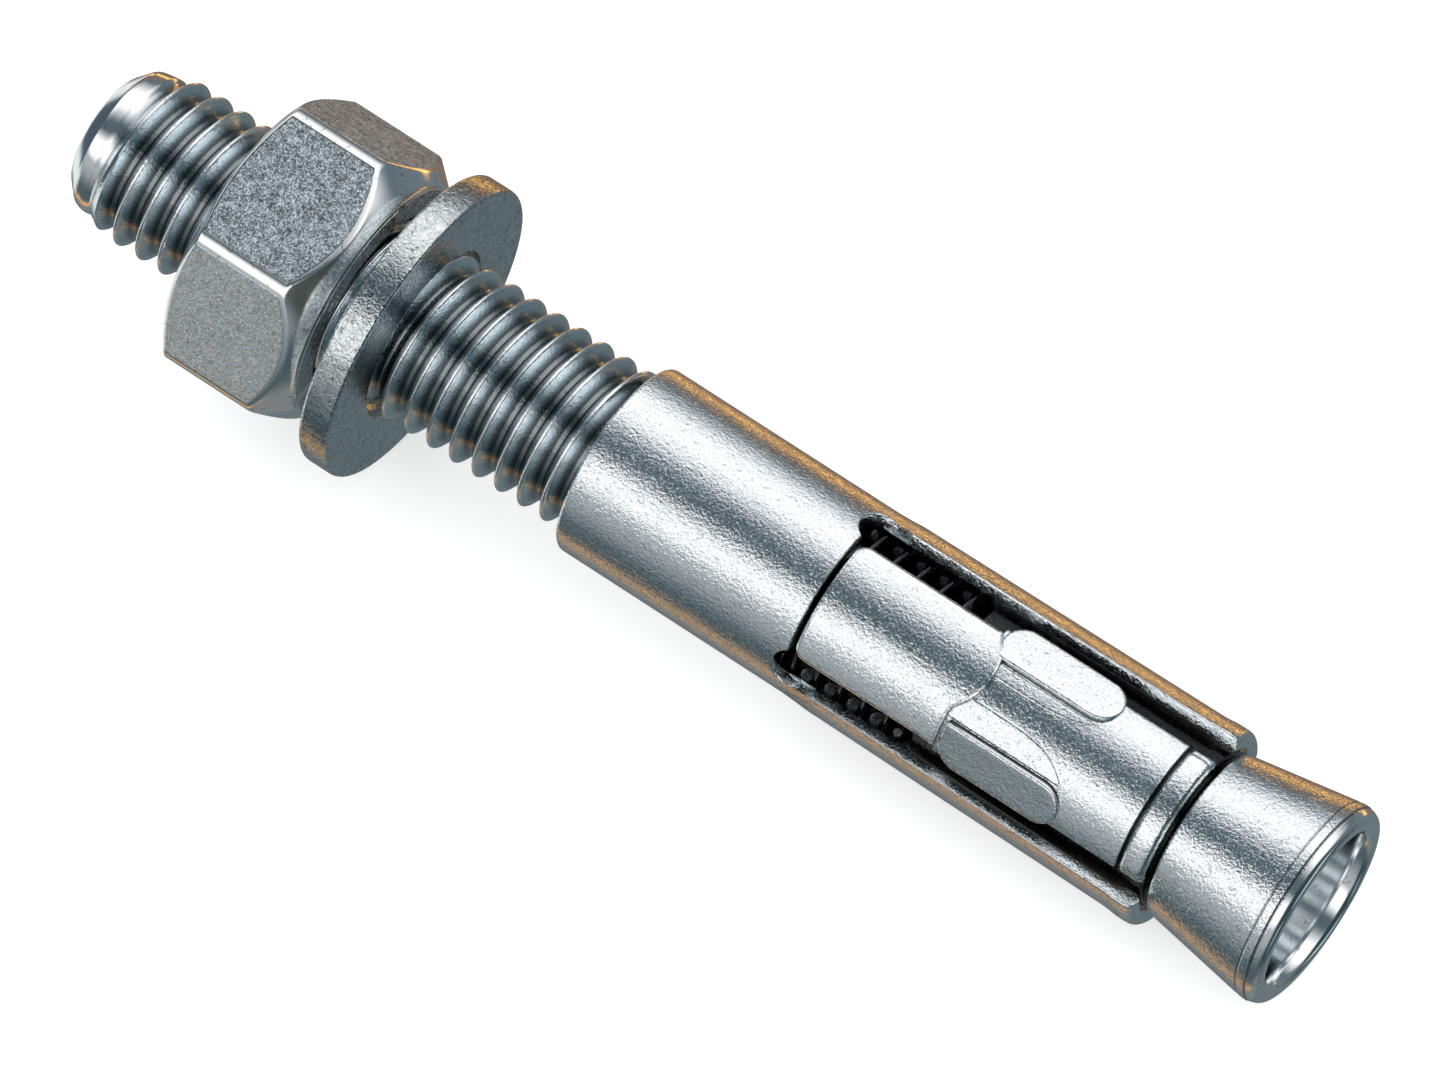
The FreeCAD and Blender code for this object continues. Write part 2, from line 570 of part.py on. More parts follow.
def band_section(body, name, station):
    """Half of the formed band's section: the tongue at the tongue's radius and, past two slanted
    flanks, the webs that run under the sleeve's legs, ending a quarter turn from the middle.
    """
    sketch = make_sketch(body, name, "XY_Plane")
    sketch.setExpression("AttachmentOffset.Base.z", ref(station))
    inner_shift = 6
    outer = [("web_radius", -90, "arc"), ("web_radius", "-band_foot_angle", "line"),
             ("band_radius", "-band_half_angle", "arc"), ("band_radius", "band_half_angle", "line"),
             ("web_radius", "band_foot_angle", "arc"), ("web_radius", 90, "line")]
    inner = [("web_bore", 90, "arc"), ("web_bore", "band_foot_angle", "line"),
             ("band_bore", "band_half_angle", "arc"), ("band_bore", "-band_half_angle", "line"),
             ("web_bore", "-band_foot_angle", "arc"), ("web_bore", -90, "line")]
    corners = outer + inner

    def angle_of(entry, inside):
        shift = inner_shift if inside else 0
        if not isinstance(entry, str):
            return entry, str(entry)
        sign = -1 if entry.startswith("-") else 1
        alias = entry.lstrip("-")
        number = sign * (value(alias) - shift)
        return number, "%d * (%s - %d)" % (sign, ref(alias), shift)

    spots = []
    for index, (radius, entry, kind) in enumerate(corners):
        number, expression = angle_of(entry, index >= len(outer))
        spots.append((radius, number, expression, kind))
    count = len(spots)
    points = [polar(value(radius), number) for radius, number, expression, kind in spots]
    ends = []
    for i, (radius, number, expression, kind) in enumerate(spots):
        start, stop = points[i], points[(i + 1) % count]
        if kind == "line":
            edge = sketch.addGeometry(Part.LineSegment(start, stop), False)
            ends.append((edge, 1, 2))
            continue
        following = spots[(i + 1) % count][1]
        span = sorted((number, following))
        edge = sketch.addGeometry(arc_about(Vector(0, 0, 0), value(radius), span[0], span[1]), False)
        ends.append((edge, 1, 2) if number < following else (edge, 2, 1))
        sketch.addConstraint(Sketcher.Constraint("Coincident", edge, 3, -1, 1))
    spokes = []
    for i, (radius, number, expression, kind) in enumerate(spots):
        spoke = sketch.addGeometry(Part.LineSegment(Vector(0, 0, 0), points[i]), True)
        spokes.append(spoke)
        sketch.addConstraint(Sketcher.Constraint("Coincident", spoke, 1, -1, 1))
        sketch.addConstraint(Sketcher.Constraint("Coincident", spoke, 2, ends[i][0], ends[i][1]))
        bind(sketch, Sketcher.Constraint("Angle", spoke, math.radians(number)), "(%s) * 1 deg" % expression)
        if spots[i - 1][3] == "line":
            bind(sketch, Sketcher.Constraint("Distance", spoke, value(radius)), ref(radius))
    for i in range(count):
        following = ends[(i + 1) % count]
        sketch.addConstraint(Sketcher.Constraint("Coincident", ends[i][0], ends[i][2], following[0], following[1]))
    return sketch


band_profile = band_section(clip, "band_section", "lip_station")
band = clip.newObject("PartDesign::Pad", "band")
band.Profile = band_profile
band.setExpression("Length", ref("band_length"))
doc.recompute()

bead = revolve(clip, "bead", [
    ("band_bore", "groove_start"),
    ("groove_radius", "groove_start"),
    ("groove_radius", "bead_start"),
    ("ring_radius", "bead_start"),
    ("ring_radius", "clip_end"),
    ("band_bore", "clip_end"),
], arc="bead_arc")
bead_edges = circle_edges(bead.Shape, value("ring_radius"), value("bead_start"))
bead_edges += circle_edges(bead.Shape, value("ring_radius"), value("clip_end"))
bead_round = dress(clip, "Fillet", "bead_edges", bead, bead_edges, "bead_rounding")


def pad_turn(side):
    """A pad's angle from the middle of the clip, as a number of degrees and as an expression."""
    number = side * value("pad_angle") - value("pad_skew")
    return number, "(%d * %s - %s) * 1 deg" % (side, ref("pad_angle"), ref("pad_skew"))


def pad(name, side):
    """A raised flat pad with round ends, square to a direction at the pad angle from the middle."""
    angle, turn = pad_turn(side)
    sketch = make_sketch(clip, name + "_outline", "YZ_Plane")
    sketch.AttachmentOffset = App.Placement(Vector(0, 0, 0), App.Rotation(Vector(0, 1, 0), angle))
    sketch.setExpression("AttachmentOffset.Rotation.Angle", turn)
    sketch.setExpression("AttachmentOffset.Base.x", "%s * sin(%s)" % (ref("pad_root"), turn))
    sketch.setExpression("AttachmentOffset.Base.z", "%s * cos(%s)" % (ref("pad_root"), turn))
    round_size = value("pad_round")
    low = value("pad_low")
    high = value("pad_high")
    sketch.addGeometry(Part.LineSegment(Vector(-round_size, high, 0), Vector(-round_size, low, 0)), False)
    sketch.addGeometry(arc_about(Vector(0, low, 0), round_size, 180, 360), False)
    sketch.addGeometry(Part.LineSegment(Vector(round_size, low, 0), Vector(round_size, high, 0)), False)
    sketch.addGeometry(arc_about(Vector(0, high, 0), round_size, 0, 180), False)
    for i in range(4):
        sketch.addConstraint(Sketcher.Constraint("Coincident", i, 2, (i + 1) % 4, 1))
    bind(sketch, Sketcher.Constraint("DistanceX", 0, 1, -1, 1, round_size), ref("pad_round"))
    bind(sketch, Sketcher.Constraint("DistanceX", 0, 2, -1, 1, round_size), ref("pad_round"))
    bind(sketch, Sketcher.Constraint("DistanceX", -1, 1, 2, 1, round_size), ref("pad_round"))
    bind(sketch, Sketcher.Constraint("DistanceX", -1, 1, 2, 2, round_size), ref("pad_round"))
    bind(sketch, Sketcher.Constraint("DistanceY", -1, 1, 0, 2, low), ref("pad_low"))
    bind(sketch, Sketcher.Constraint("DistanceY", -1, 1, 2, 1, low), ref("pad_low"))
    bind(sketch, Sketcher.Constraint("DistanceY", -1, 1, 1, 3, low), ref("pad_low"))
    bind(sketch, Sketcher.Constraint("DistanceY", -1, 1, 0, 1, high), ref("pad_high"))
    bind(sketch, Sketcher.Constraint("DistanceY", -1, 1, 2, 2, high), ref("pad_high"))
    bind(sketch, Sketcher.Constraint("DistanceY", -1, 1, 3, 3, high), ref("pad_high"))
    raised = clip.newObject("PartDesign::Pad", name)
    raised.Profile = sketch
    raised.setExpression("Length", ref("pad_thickness"))
    doc.recompute()
    return raised


def ramp_section(name, side, station, crest, foot, lap, reach):
    """One end of the slope beside a pad: a sliver from the pad's inner edge down to the band."""
    sketch = make_sketch(clip, name, "XY_Plane")
    angle, turn = pad_turn(side)
    sketch.AttachmentOffset = App.Placement(Vector(0, 0, value(station)),
                                            App.Rotation(Vector(0, 0, 1), angle))
    sketch.setExpression("AttachmentOffset.Base.z", ref(station))
    sketch.setExpression("AttachmentOffset.Rotation.Angle", turn)
    corners = [(crest, lap), (crest, "pad_round"), (foot, reach), ("pad_root", lap)]
    points = [Vector(value(out), -side * value(across), 0) for out, across in corners]
    for i in range(4):
        sketch.addGeometry(Part.LineSegment(points[i], points[(i + 1) % 4]), False)
    for i in range(4):
        sketch.addConstraint(Sketcher.Constraint("Coincident", i, 2, (i + 1) % 4, 1))
    for i, (out, across) in enumerate(corners):
        bind(sketch, Sketcher.Constraint("DistanceX", -1, 1, i, 1, value(out)), ref(out))
        first, second = ((i, 1), (-1, 1)) if side > 0 else ((-1, 1), (i, 1))
        bind(sketch, Sketcher.Constraint("DistanceY", *first, *second, value(across)), ref(across))
    return sketch


def ramp(name, side):
    """The slope that falls from a pad's inner edge to the band and narrows in a bend along the pad."""
    head = ramp_section(name + "_head", side, "ramp_start", "ramp_crest", "ramp_foot", "ramp_lap", "ramp_reach")
    half = ramp_section(name + "_half", side, "ramp_half", "ramp_crest", "ramp_half_foot", "ramp_lap",
                        "ramp_half_reach")
    tail = ramp_section(name + "_tail", side, "ramp_end", "ramp_crest", "ramp_tail_foot", "ramp_lap",
                        "ramp_tail_reach")
    slope = clip.newObject("PartDesign::AdditiveLoft", name)
    slope.Profile = head
    slope.Sections = [half, tail]
    slope.Ruled = True
    doc.recompute()
    return slope


left_pad = pad("pad_left", 1)
right_pad = pad("pad_right", -1)
left_ramp = ramp("ramp_left", 1)
right_ramp = ramp("ramp_right", -1)
half_turn(clip, "both_sides", [tongue, tongue_top, lip_cut, band, bead, bead_round, left_pad, right_pad,
                               left_ramp, right_ramp])

# The collar carries the webs on, under the tongues, to the shoulder where the thread ends.
revolve(clip, "collar", [
    ("web_bore", "collar_start"),
    ("web_radius", "collar_start"),
    ("web_radius", "lip_station"),
    ("web_bore", "lip_station"),
])

# Expander cone: a hollow cone nut with a ridge, a rounded rim and a wide recess at its mouth.
cone = make_body("expander_cone")
cone_blank = revolve(cone, "cone_turning", [
    ("cone_bore_radius", "cone_station"),
    ("cone_small_radius", "cone_station"),
    ("cone_rim_radius", "cone_ridge_station"),
    ("cone_rim_radius", "cone_end"),
    ("cone_lip_radius", "cone_end"),
    ("cone_mouth_radius", "cone_lip_station"),
    ("cone_mouth_radius", "cone_recess_station"),
    ("cone_bore_radius", "cone_recess_station"),
])
cone_rim = circle_edges(cone_blank.Shape, value("cone_rim_radius"), value("cone_end"))
dress(cone, "Fillet", "cone_rim", cone_blank, cone_rim, "cone_rim_rounding")

# Laying down: the surface touches the rounded lower edges of the washer and of the cone's rim.
washer_round = value("washer_rim_rounding")
cone_round = value("cone_rim_rounding")
washer_touch = (value("washer_end") - washer_round, value("washer_radius") - washer_round)
cone_touch = (value("cone_end") - cone_round, value("cone_rim_radius") - cone_round)
run = cone_touch[0] - washer_touch[0]
drop = washer_touch[1] - cone_touch[1]
dip = math.atan2(drop, run) - math.asin((cone_round - washer_round) / math.hypot(run, drop))
tip_height = math.sin(dip) * washer_touch[0] + math.cos(dip) * washer_touch[1] + washer_round
lowest_x = -value("tip_radius") * math.sin(dip)
highest_x = cone_touch[0] * math.cos(dip) + cone_touch[1] * math.sin(dip) + cone_round
along = Vector(math.cos(dip), 0, -math.sin(dip))
upward = Vector(math.sin(dip), 0, math.cos(dip))
laid = App.Placement(Vector(-(lowest_x + highest_x) / 2, 0, tip_height),
                     App.Rotation(upward, along.cross(upward), along, "ZXY"))
about_axis = Vector(0, 0, 1)
ROLLS = {"stud": 0, "hex_nut": value("nut_roll"), "flat_washer": 0, "sleeve": value("sleeve_roll"),
         "expansion_clip": value("clip_roll"), "expander_cone": 0}
bodies = [stud, nut, washer, sleeve, clip, cone]
for body in bodies:
    body.Placement = laid * App.Placement(Vector(0, 0, 0), App.Rotation(about_axis, ROLLS[body.Label]))
doc.recompute()

for item in doc.Objects:
    if "Invalid" in item.State or "Error" in item.State:
        raise RuntimeError("%s did not build: %s" % (item.Label, item.State))
for body in bodies:
    shape = body.Shape
    if shape.isNull() or not shape.isValid() or len(shape.Solids) != 1:
        raise RuntimeError("%s is not one valid solid" % body.Label)

os.makedirs("parts", exist_ok=True)
for body in bodies:
    body.Shape.exportStep("parts/%s.step" % body.Label)
    print("%s: %.2f mm3, box %s" % (body.Label, body.Shape.Volume, body.Shape.BoundBox))
print("dip %.3f degrees" % math.degrees(dip))
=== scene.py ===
"""Sleeve anchor: fine shapes, plated-steel finishes, studio light and camera.

Lengths in this script are millimetres along the anchor's own axis ("station", from the threaded
tip) and out from it (radius), as in the part's source, and become metres in the shared frame.
"""
import bpy
import json
import math
import numpy as np
from mathutils import Matrix, Vector


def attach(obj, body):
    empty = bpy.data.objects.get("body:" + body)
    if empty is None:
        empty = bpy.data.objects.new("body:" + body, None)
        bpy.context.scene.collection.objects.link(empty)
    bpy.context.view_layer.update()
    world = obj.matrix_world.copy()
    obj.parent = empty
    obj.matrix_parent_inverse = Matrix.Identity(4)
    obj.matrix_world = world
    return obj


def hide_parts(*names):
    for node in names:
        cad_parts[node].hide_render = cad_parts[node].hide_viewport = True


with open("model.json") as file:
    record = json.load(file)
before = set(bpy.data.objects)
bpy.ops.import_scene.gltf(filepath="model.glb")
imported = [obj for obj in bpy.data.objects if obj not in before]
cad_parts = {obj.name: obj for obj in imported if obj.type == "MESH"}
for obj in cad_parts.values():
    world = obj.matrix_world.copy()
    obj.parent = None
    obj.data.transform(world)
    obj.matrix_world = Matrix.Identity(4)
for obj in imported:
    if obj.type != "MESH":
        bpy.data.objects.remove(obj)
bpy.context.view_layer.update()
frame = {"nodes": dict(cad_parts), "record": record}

# The anchor's axis in the shared frame, from the mount on the stud's free end.
MOUNTS = {mount["name"]: mount for mount in frame["record"]["mounts"]}
THREAD = MOUNTS["stud_thread"]
PILOT_LENGTH = 2.2
THREAD_MIDDLE = PILOT_LENGTH + THREAD["dims"]["length_mm"] / 2
ALONG = -np.array(THREAD["axis"], float)
ALONG /= np.linalg.norm(ALONG)
SIDE = np.array([0.0, -1.0, 0.0])
UP = np.cross(SIDE, ALONG)
ORIGIN = np.array(THREAD["pos_m"], float) * 1000.0 - THREAD_MIDDLE * ALONG

# Angles round the axis are in degrees from UP towards SIDE.
NUT_ROLL = 40.5
SLEEVE_ROLL = 26.9
CLIP_ROLL = 29.0

# Points closer than this, in metres, are one, and edges that bend more than this are sharp.
WELD_SIZE = 2e-6
SHARP_ANGLE = math.radians(42)


def place(station, radius, angle):
    """Points in metres from stations, radii and angles in degrees round the axis."""
    turn = np.radians(angle)
    out = radius * np.cos(turn)
    across = radius * np.sin(turn)
    station, out, across = np.broadcast_arrays(station, out, across)
    point = ORIGIN + station[..., None] * ALONG + out[..., None] * UP + across[..., None] * SIDE
    return point / 1000.0


def grid_faces(rows, columns):
    """Four-sided faces of a grid of points stored row by row."""
    index = np.arange(rows * columns).reshape(rows, columns)
    corners = [index[:-1, :-1], index[:-1, 1:], index[1:, 1:], index[1:, :-1]]
    return np.stack(corners, -1).reshape(-1, 4)


def weld(points, faces):
    """Join points that lie in one place and drop faces that lose their area by it."""
    keys = np.round(points / WELD_SIZE).astype(np.int64)
    _, first, inverse = np.unique(keys, axis=0, return_index=True, return_inverse=True)
    faces = inverse.reshape(-1)[faces]
    same = faces == np.roll(faces, -1, axis=1)
    loops = []
    for face, doubled in zip(faces.tolist(), same.tolist()):
        ring = [corner for corner, skip in zip(face, doubled) if not skip]
        if len(set(ring)) == len(ring) and len(ring) > 2:
            loops.append(ring)
    return points[first], loops, first


def mesh_piece(name, shells, node, body):
    """One object from a list of (points, faces) shells, standing for a CAD node on its body. A shell
    may have a third part, the share of painted shade at each point, which the finish reads as
    darkening for creases and hollows.
    """
    points = np.concatenate([shell[0].reshape(-1, 3) for shell in shells])
    starts = np.cumsum([0] + [shell[0].reshape(-1, 3).shape[0] for shell in shells[:-1]])
    faces = np.concatenate([shell[1] + start for shell, start in zip(shells, starts)])
    grids = [shell[2] if len(shell) > 2 else np.zeros(shell[0].shape[:-1]) for shell in shells]
    painted_shade = np.concatenate([np.ravel(grid) for grid in grids])
    points, loops, kept = weld(points, faces)
    mesh = bpy.data.meshes.new(name)
    mesh.from_pydata(points.tolist(), [], loops)
    # This attribute holds painted shade: the darkening laid on creases, hollows and grooves.
    layer = mesh.attributes.new("painted_shade", "FLOAT", "POINT")
    layer.data.foreach_set("value", painted_shade[kept].astype(np.float32))
    mesh.validate()
    mesh.shade_smooth()
    mesh.set_sharp_from_angle(angle=SHARP_ANGLE)
    piece = bpy.data.objects.new(name, mesh)
    bpy.context.scene.collection.objects.link(piece)
    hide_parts(node)
    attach(piece, body)
    return piece


def soften(corners, size, steps=4):
    """Round every inner corner of a broken line: each corner is replaced by a short curve that
    leaves one side and joins the next at the given distance, or at under half of the side.
    """
    most_of_side = 0.48
    corners = [np.array(corner, float) for corner in corners]
    sizes = size if isinstance(size, (list, tuple)) else [size] * len(corners)
    line = [corners[0]]
    for i in range(1, len(corners) - 1):
        before = corners[i - 1] - corners[i]
        after = corners[i + 1] - corners[i]
        before_length = np.linalg.norm(before)
        after_length = np.linalg.norm(after)
        reach = min(sizes[i], most_of_side * before_length, most_of_side * after_length)
        start = corners[i] + before / before_length * reach
        stop = corners[i] + after / after_length * reach
        for k in range(steps + 1):
            t = k / steps
            line.append((1 - t) ** 2 * start + 2 * t * (1 - t) * corners[i] + t * t * stop)
    line.append(corners[-1])
    return np.array(line)


def turned(profile, columns=160):
    """A surface of revolution: the profile's (station, radius) points turned round the axis."""
    angles = np.linspace(0, 360, columns + 1)
    points = place(profile[:, :1], profile[:, 1:], angles[None, :])
    return points, grid_faces(len(profile), columns + 1)


def tour(*knots):
    """Values from knot to knot in even steps; a knot is (value, steps to the next knot)."""
    values = [np.linspace(knots[i][0], knots[i + 1][0], knots[i][1], endpoint=False)
              for i in range(len(knots) - 1)]
    return np.concatenate(values + [[knots[-1][0]]])


def closed(points, painted_shade, flip):
    """A grid closed to a solid: its last row joins its first, and both end columns shrink to their
    middle points.
    """
    points = np.concatenate([points, points[:1]])
    painted_shade = np.concatenate([painted_shade, painted_shade[:1]])
    caps = [0 * points[:, :1] + points[:-1, end].mean(0) for end in (0, -1)]
    points = np.concatenate([caps[0], points, caps[1]], 1)
    painted_shade = np.concatenate([painted_shade[:, :1], painted_shade, painted_shade[:, -1:]], 1)
    faces = grid_faces(*painted_shade.shape)
    return points, faces[:, ::-1] if flip else faces, painted_shade


def smooth_step(value, low, high):
    """0 below low, 1 above high, with an easy curve between."""
    t = np.clip((value - low) / (high - low), 0, 1)
    return t * t * (3 - 2 * t)


# Stud. LEG_REACH is in degrees and the rest in millimetres.
PITCH = 1.5
CREST = 4.92
ROOT = 4.03
THREAD_START = 1.2
THREAD_END = 56.7
THREAD_TURNS = 39
THREAD_FILL = (47.5, 48.5, 55.8, 56.5)
LEG_REACH = (17.0, 22.0)


def thread_form(turns):
    """Radius over one pitch: a narrow rounded crest, straight flanks and a wider rounded root.

    turns counts pitches from a crest; a flank runs from 0.045 to 0.41 of a pitch, with both of its
    ends eased by a small parabola.
    """
    away = np.abs(turns - np.round(turns))
    top, bottom, ease = 0.045, 0.41, 0.045
    slope = (CREST - ROOT) / (bottom - top)
    drop = slope * np.clip(away - top, 0, bottom - top)
    near_top = np.abs(away - top) < ease
    drop = np.where(near_top, slope * (away - top + ease) ** 2 / (4 * ease), drop)
    near_bottom = np.abs(away - bottom) < ease
    deep = slope * (bottom - top) - slope * (bottom + ease - away) ** 2 / (4 * ease)
    return CREST - np.where(near_bottom, deep, drop)


def stud_limit(station):
    """The blank's radius at a station: chamfered tip, thread, shoulder and shank."""
    stations = [1.2, 1.6, 2.3, 2.6, 3.0, 55.8, 56.7, 76.0, 76.6]
    radii = [4.36, 4.42, 4.5, 4.72, 4.95, 4.95, 3.95, 3.95, 3.4]
    return np.interp(station, stations, radii)


def stud_shell():
    """The thread's rows follow the helix, so its crest is one clean line: the station of a point
    is one pitch times its turn count, and its radius is the thread form, cut by the blank. Under
    the sleeve's legs, where nothing is seen, the valleys are full, so no light passes there:
    THREAD_FILL gives the stations where that starts and ends, and LEG_REACH the degrees to either
    side of a leg's middle.
    """
    columns = 98
    half_turn = np.array([0.0, 0.02, 0.045, 0.07, 0.1, 0.16, 0.23, 0.3, 0.365, 0.39, 0.415, 0.45])
    per_turn = np.concatenate([half_turn, 1 - half_turn[:0:-1]])
    turns = np.concatenate([per_turn + k for k in range(THREAD_TURNS)] + [[float(THREAD_TURNS)]])
    angles = np.linspace(0, 1, columns + 1)
    count = turns[:, None] - angles[None, :]
    radius = thread_form(turns)[:, None] + 0 * angles[None, :]
    raw = count * PITCH
    station = np.clip(raw, THREAD_START, THREAD_END)
    runout = smooth_step(raw, THREAD_START - 0.2, THREAD_START + 2.2)
    runout = runout * (1 - smooth_step(raw, THREAD_END - 1.3, THREAD_END + 0.1))
    low = np.clip(stud_limit(station), 0, CREST)
    radius = np.minimum(low, radius * runout + low * (1 - runout))
    from_leg = np.abs((360 * angles - SLEEVE_ROLL) % 180 - 90)[None, :]
    hidden = (1 - smooth_step(from_leg, *LEG_REACH)) * smooth_step(station, *THREAD_FILL[:2])
    hidden = hidden * (1 - smooth_step(station, *THREAD_FILL[2:]))
    radius = radius + (np.maximum(radius, CREST) - radius) * hidden
    thread = place(station, radius, 360 * angles[None, :] + 0 * station)
    tip = soften([(0, 0.0), (0, 3.3), (0.92, 4.28), (1.2, 4.36)], [0, 0.35, 0.16, 0])
    shank = soften([(THREAD_END, 3.95), (76.0, 3.95), (76.6, 3.4), (76.6, 0.0)], 0.15)
    turned_tip = place(tip[:, :1], tip[:, 1:], 360 * angles[None, :])
    turned_shank = place(shank[:, :1], shank[:, 1:], 360 * angles[None, :])
    return [(turned_tip, grid_faces(len(tip), columns + 1)),
            (thread, grid_faces(len(turns), columns + 1)),
            (turned_shank, grid_faces(len(shank), columns + 1))]


# Nut
NUT_START = 9.6
NUT_END = 17.9
NUT_FLAT = 7.85
NUT_CORNER = 1.3
NUT_BORE = 5.01
NUT_SINK = 5.45
NUT_SINK_DEPTH = 0.45
NUT_TIP_FACE = 7.6
NUT_TIP_SLOPE = math.tan(math.radians(30))
NUT_SEAT_FACE = 7.23
NUT_SEAT_SLOPE = math.tan(math.radians(49))


def hexagon_radius(angle):
    """Distance to a hexagon with rounded corners; a corner lies at angle 0 and every 60 degrees."""
    away = np.radians(np.abs((angle + 30) % 60 - 30))
    flat = NUT_FLAT / np.cos(np.pi / 6 - away)
    centre = (NUT_FLAT - NUT_CORNER) / math.cos(math.pi / 6)
    bend = math.atan2(NUT_CORNER / 2, centre + NUT_CORNER * math.cos(math.pi / 6))
    inside = np.clip(NUT_CORNER ** 2 - (centre * np.sin(away)) ** 2, 0, None)
    rounded = centre * np.cos(away) + np.sqrt(inside)
    return np.where(away < bend, rounded, flat)


def nut_shell():
    """At each angle a rounded profile runs from the bore over the countersink, the flat face, the
    chamfer and the hexagon's side, and back to the bore at the other end.
    """
    one = tour((0, 8), (4.2, 4), (8, 5), (16, 7), (44, 5), (52, 4), (55.8, 8), (60, 1))
    angles = np.concatenate([one[:-1] + 60 * k for k in range(6)] + [[360.0]])
    sizes = [0, 0.12, 0.14, 0.16, 0.2, 0.25, 0.12, 0, 0]
    columns = []
    for radius in hexagon_radius(angles):
        tip_cut = NUT_START + (radius - NUT_TIP_FACE) * NUT_TIP_SLOPE
        seat_cut = NUT_END - (radius - NUT_SEAT_FACE) * NUT_SEAT_SLOPE
        corners = [(NUT_START + NUT_SINK_DEPTH, NUT_BORE), (NUT_START, NUT_SINK),
                   (NUT_START, NUT_TIP_FACE), (tip_cut, radius),
                   (seat_cut, radius), (NUT_END, NUT_SEAT_FACE),
                   (NUT_END, NUT_SINK), (NUT_END - NUT_SINK_DEPTH, NUT_BORE),
                   (NUT_START + NUT_SINK_DEPTH, NUT_BORE)]
        columns.append(soften(corners, sizes, 4))
    profile = np.stack(columns, 1)
    points = place(profile[..., 0], profile[..., 1], angles[None, :] + NUT_ROLL)
    return points, grid_faces(profile.shape[0], len(angles))


# Washer
WASHER_START = 19.5
WASHER_MIDDLE = 20.44
WASHER_END = 21.38
WASHER_SINK = 0.04
WASHER_HOLE = 5.2
WASHER_RADIUS = 9.05


def washer_shell():
    """A turned ring whose rims are eased; its lower face sinks very slightly towards the hole."""
    corners = [(WASHER_MIDDLE, WASHER_HOLE), (WASHER_START, WASHER_HOLE), (WASHER_START, WASHER_RADIUS),
               (WASHER_END, WASHER_RADIUS), (WASHER_END - WASHER_SINK, WASHER_HOLE),
               (WASHER_MIDDLE, WASHER_HOLE)]
    return turned(soften(corners, [0, 0.16, 0.3, 0.3, 0.16, 0], 5), 192)


# Sleeve. WINDOW_HALF and HEAD_ANGLE are in degrees from a window's middle, the rest in millimetres;
# DEGREE is the length of one degree on the ring, and the last three are the edges' roundings.
SLEEVE_START = 34.1
RING_END = 49.0
SLEEVE_END = 72.0
WINDOW_HALF = 61.8
HEAD_STATION = 49.8
HEAD_RADIUS = 1.5
HEAD_ANGLE = 52.3
RING_RADIUS = 5.72
DEGREE = math.radians(1) * RING_RADIUS
CUT_EASE = 0.13
TOP_EASE = 0.3
TOE_EASE = 0.42


def sleeve_outside(station):
    """Outer radius: plain ring, a small step into the legs, a slow flare and the toe's bulge."""
    stations = [34.1, 49.9, 50.05, 50.3, 50.5, 70.0, 70.35, 70.8, 71.2, 71.6, 72.0]
    radii = [5.72, 5.72, 5.74, 5.8, 5.815, 5.96, 5.99, 6.04, 6.05, 6.03, 5.98]
    return np.interp(station, stations, radii)


def sleeve_inside(station):
    """Inner radius: the bore, the same small step and flare, and the toe's hook."""
    stations = [34.1, 49.9, 50.5, 70.2, 70.6, 71.0, 71.3, 71.7, 72.0]
    radii = [5.05, 5.05, 5.14, 5.28, 5.22, 5.08, 5.01, 5.01, 5.06]
    return np.interp(station, stations, radii)


def window_edge():
    """Half of a window's edge, from its middle to the toe: straight across, round the slot head,
    and down the leg. Each point is (angle from the window's middle, station).
    """
    half_line = math.asin((HEAD_STATION - RING_END) / HEAD_RADIUS)
    start = HEAD_ANGLE - HEAD_RADIUS * math.cos(half_line) / DEGREE
    wall = (WINDOW_HALF - HEAD_ANGLE) * DEGREE
    stop = math.acos(wall / HEAD_RADIUS)
    points = [(angle, RING_END) for angle in tour((0, 12), (start - 2, 4), (start, 1))[:-1]]
    for turn in np.linspace(math.pi + half_line, 2 * math.pi + stop, 26):
        angle = HEAD_ANGLE + HEAD_RADIUS * math.cos(turn) / DEGREE
        points.append((angle, HEAD_STATION + HEAD_RADIUS * math.sin(turn)))
    last = points[-1][1]
    for station in tour((last, 4), (51.6, 24), (70.0, 12), (71.4, 8), (SLEEVE_END, 1))[1:]:
        points.append((WINDOW_HALF, station))
    return np.array(points)


def rounding(distance, size):
    """How far a surface drops at a distance from an edge that is rounded to the size."""
    short = np.clip(size - distance, 0, size)
    return size - np.sqrt(np.clip(size ** 2 - short ** 2, 0, None))


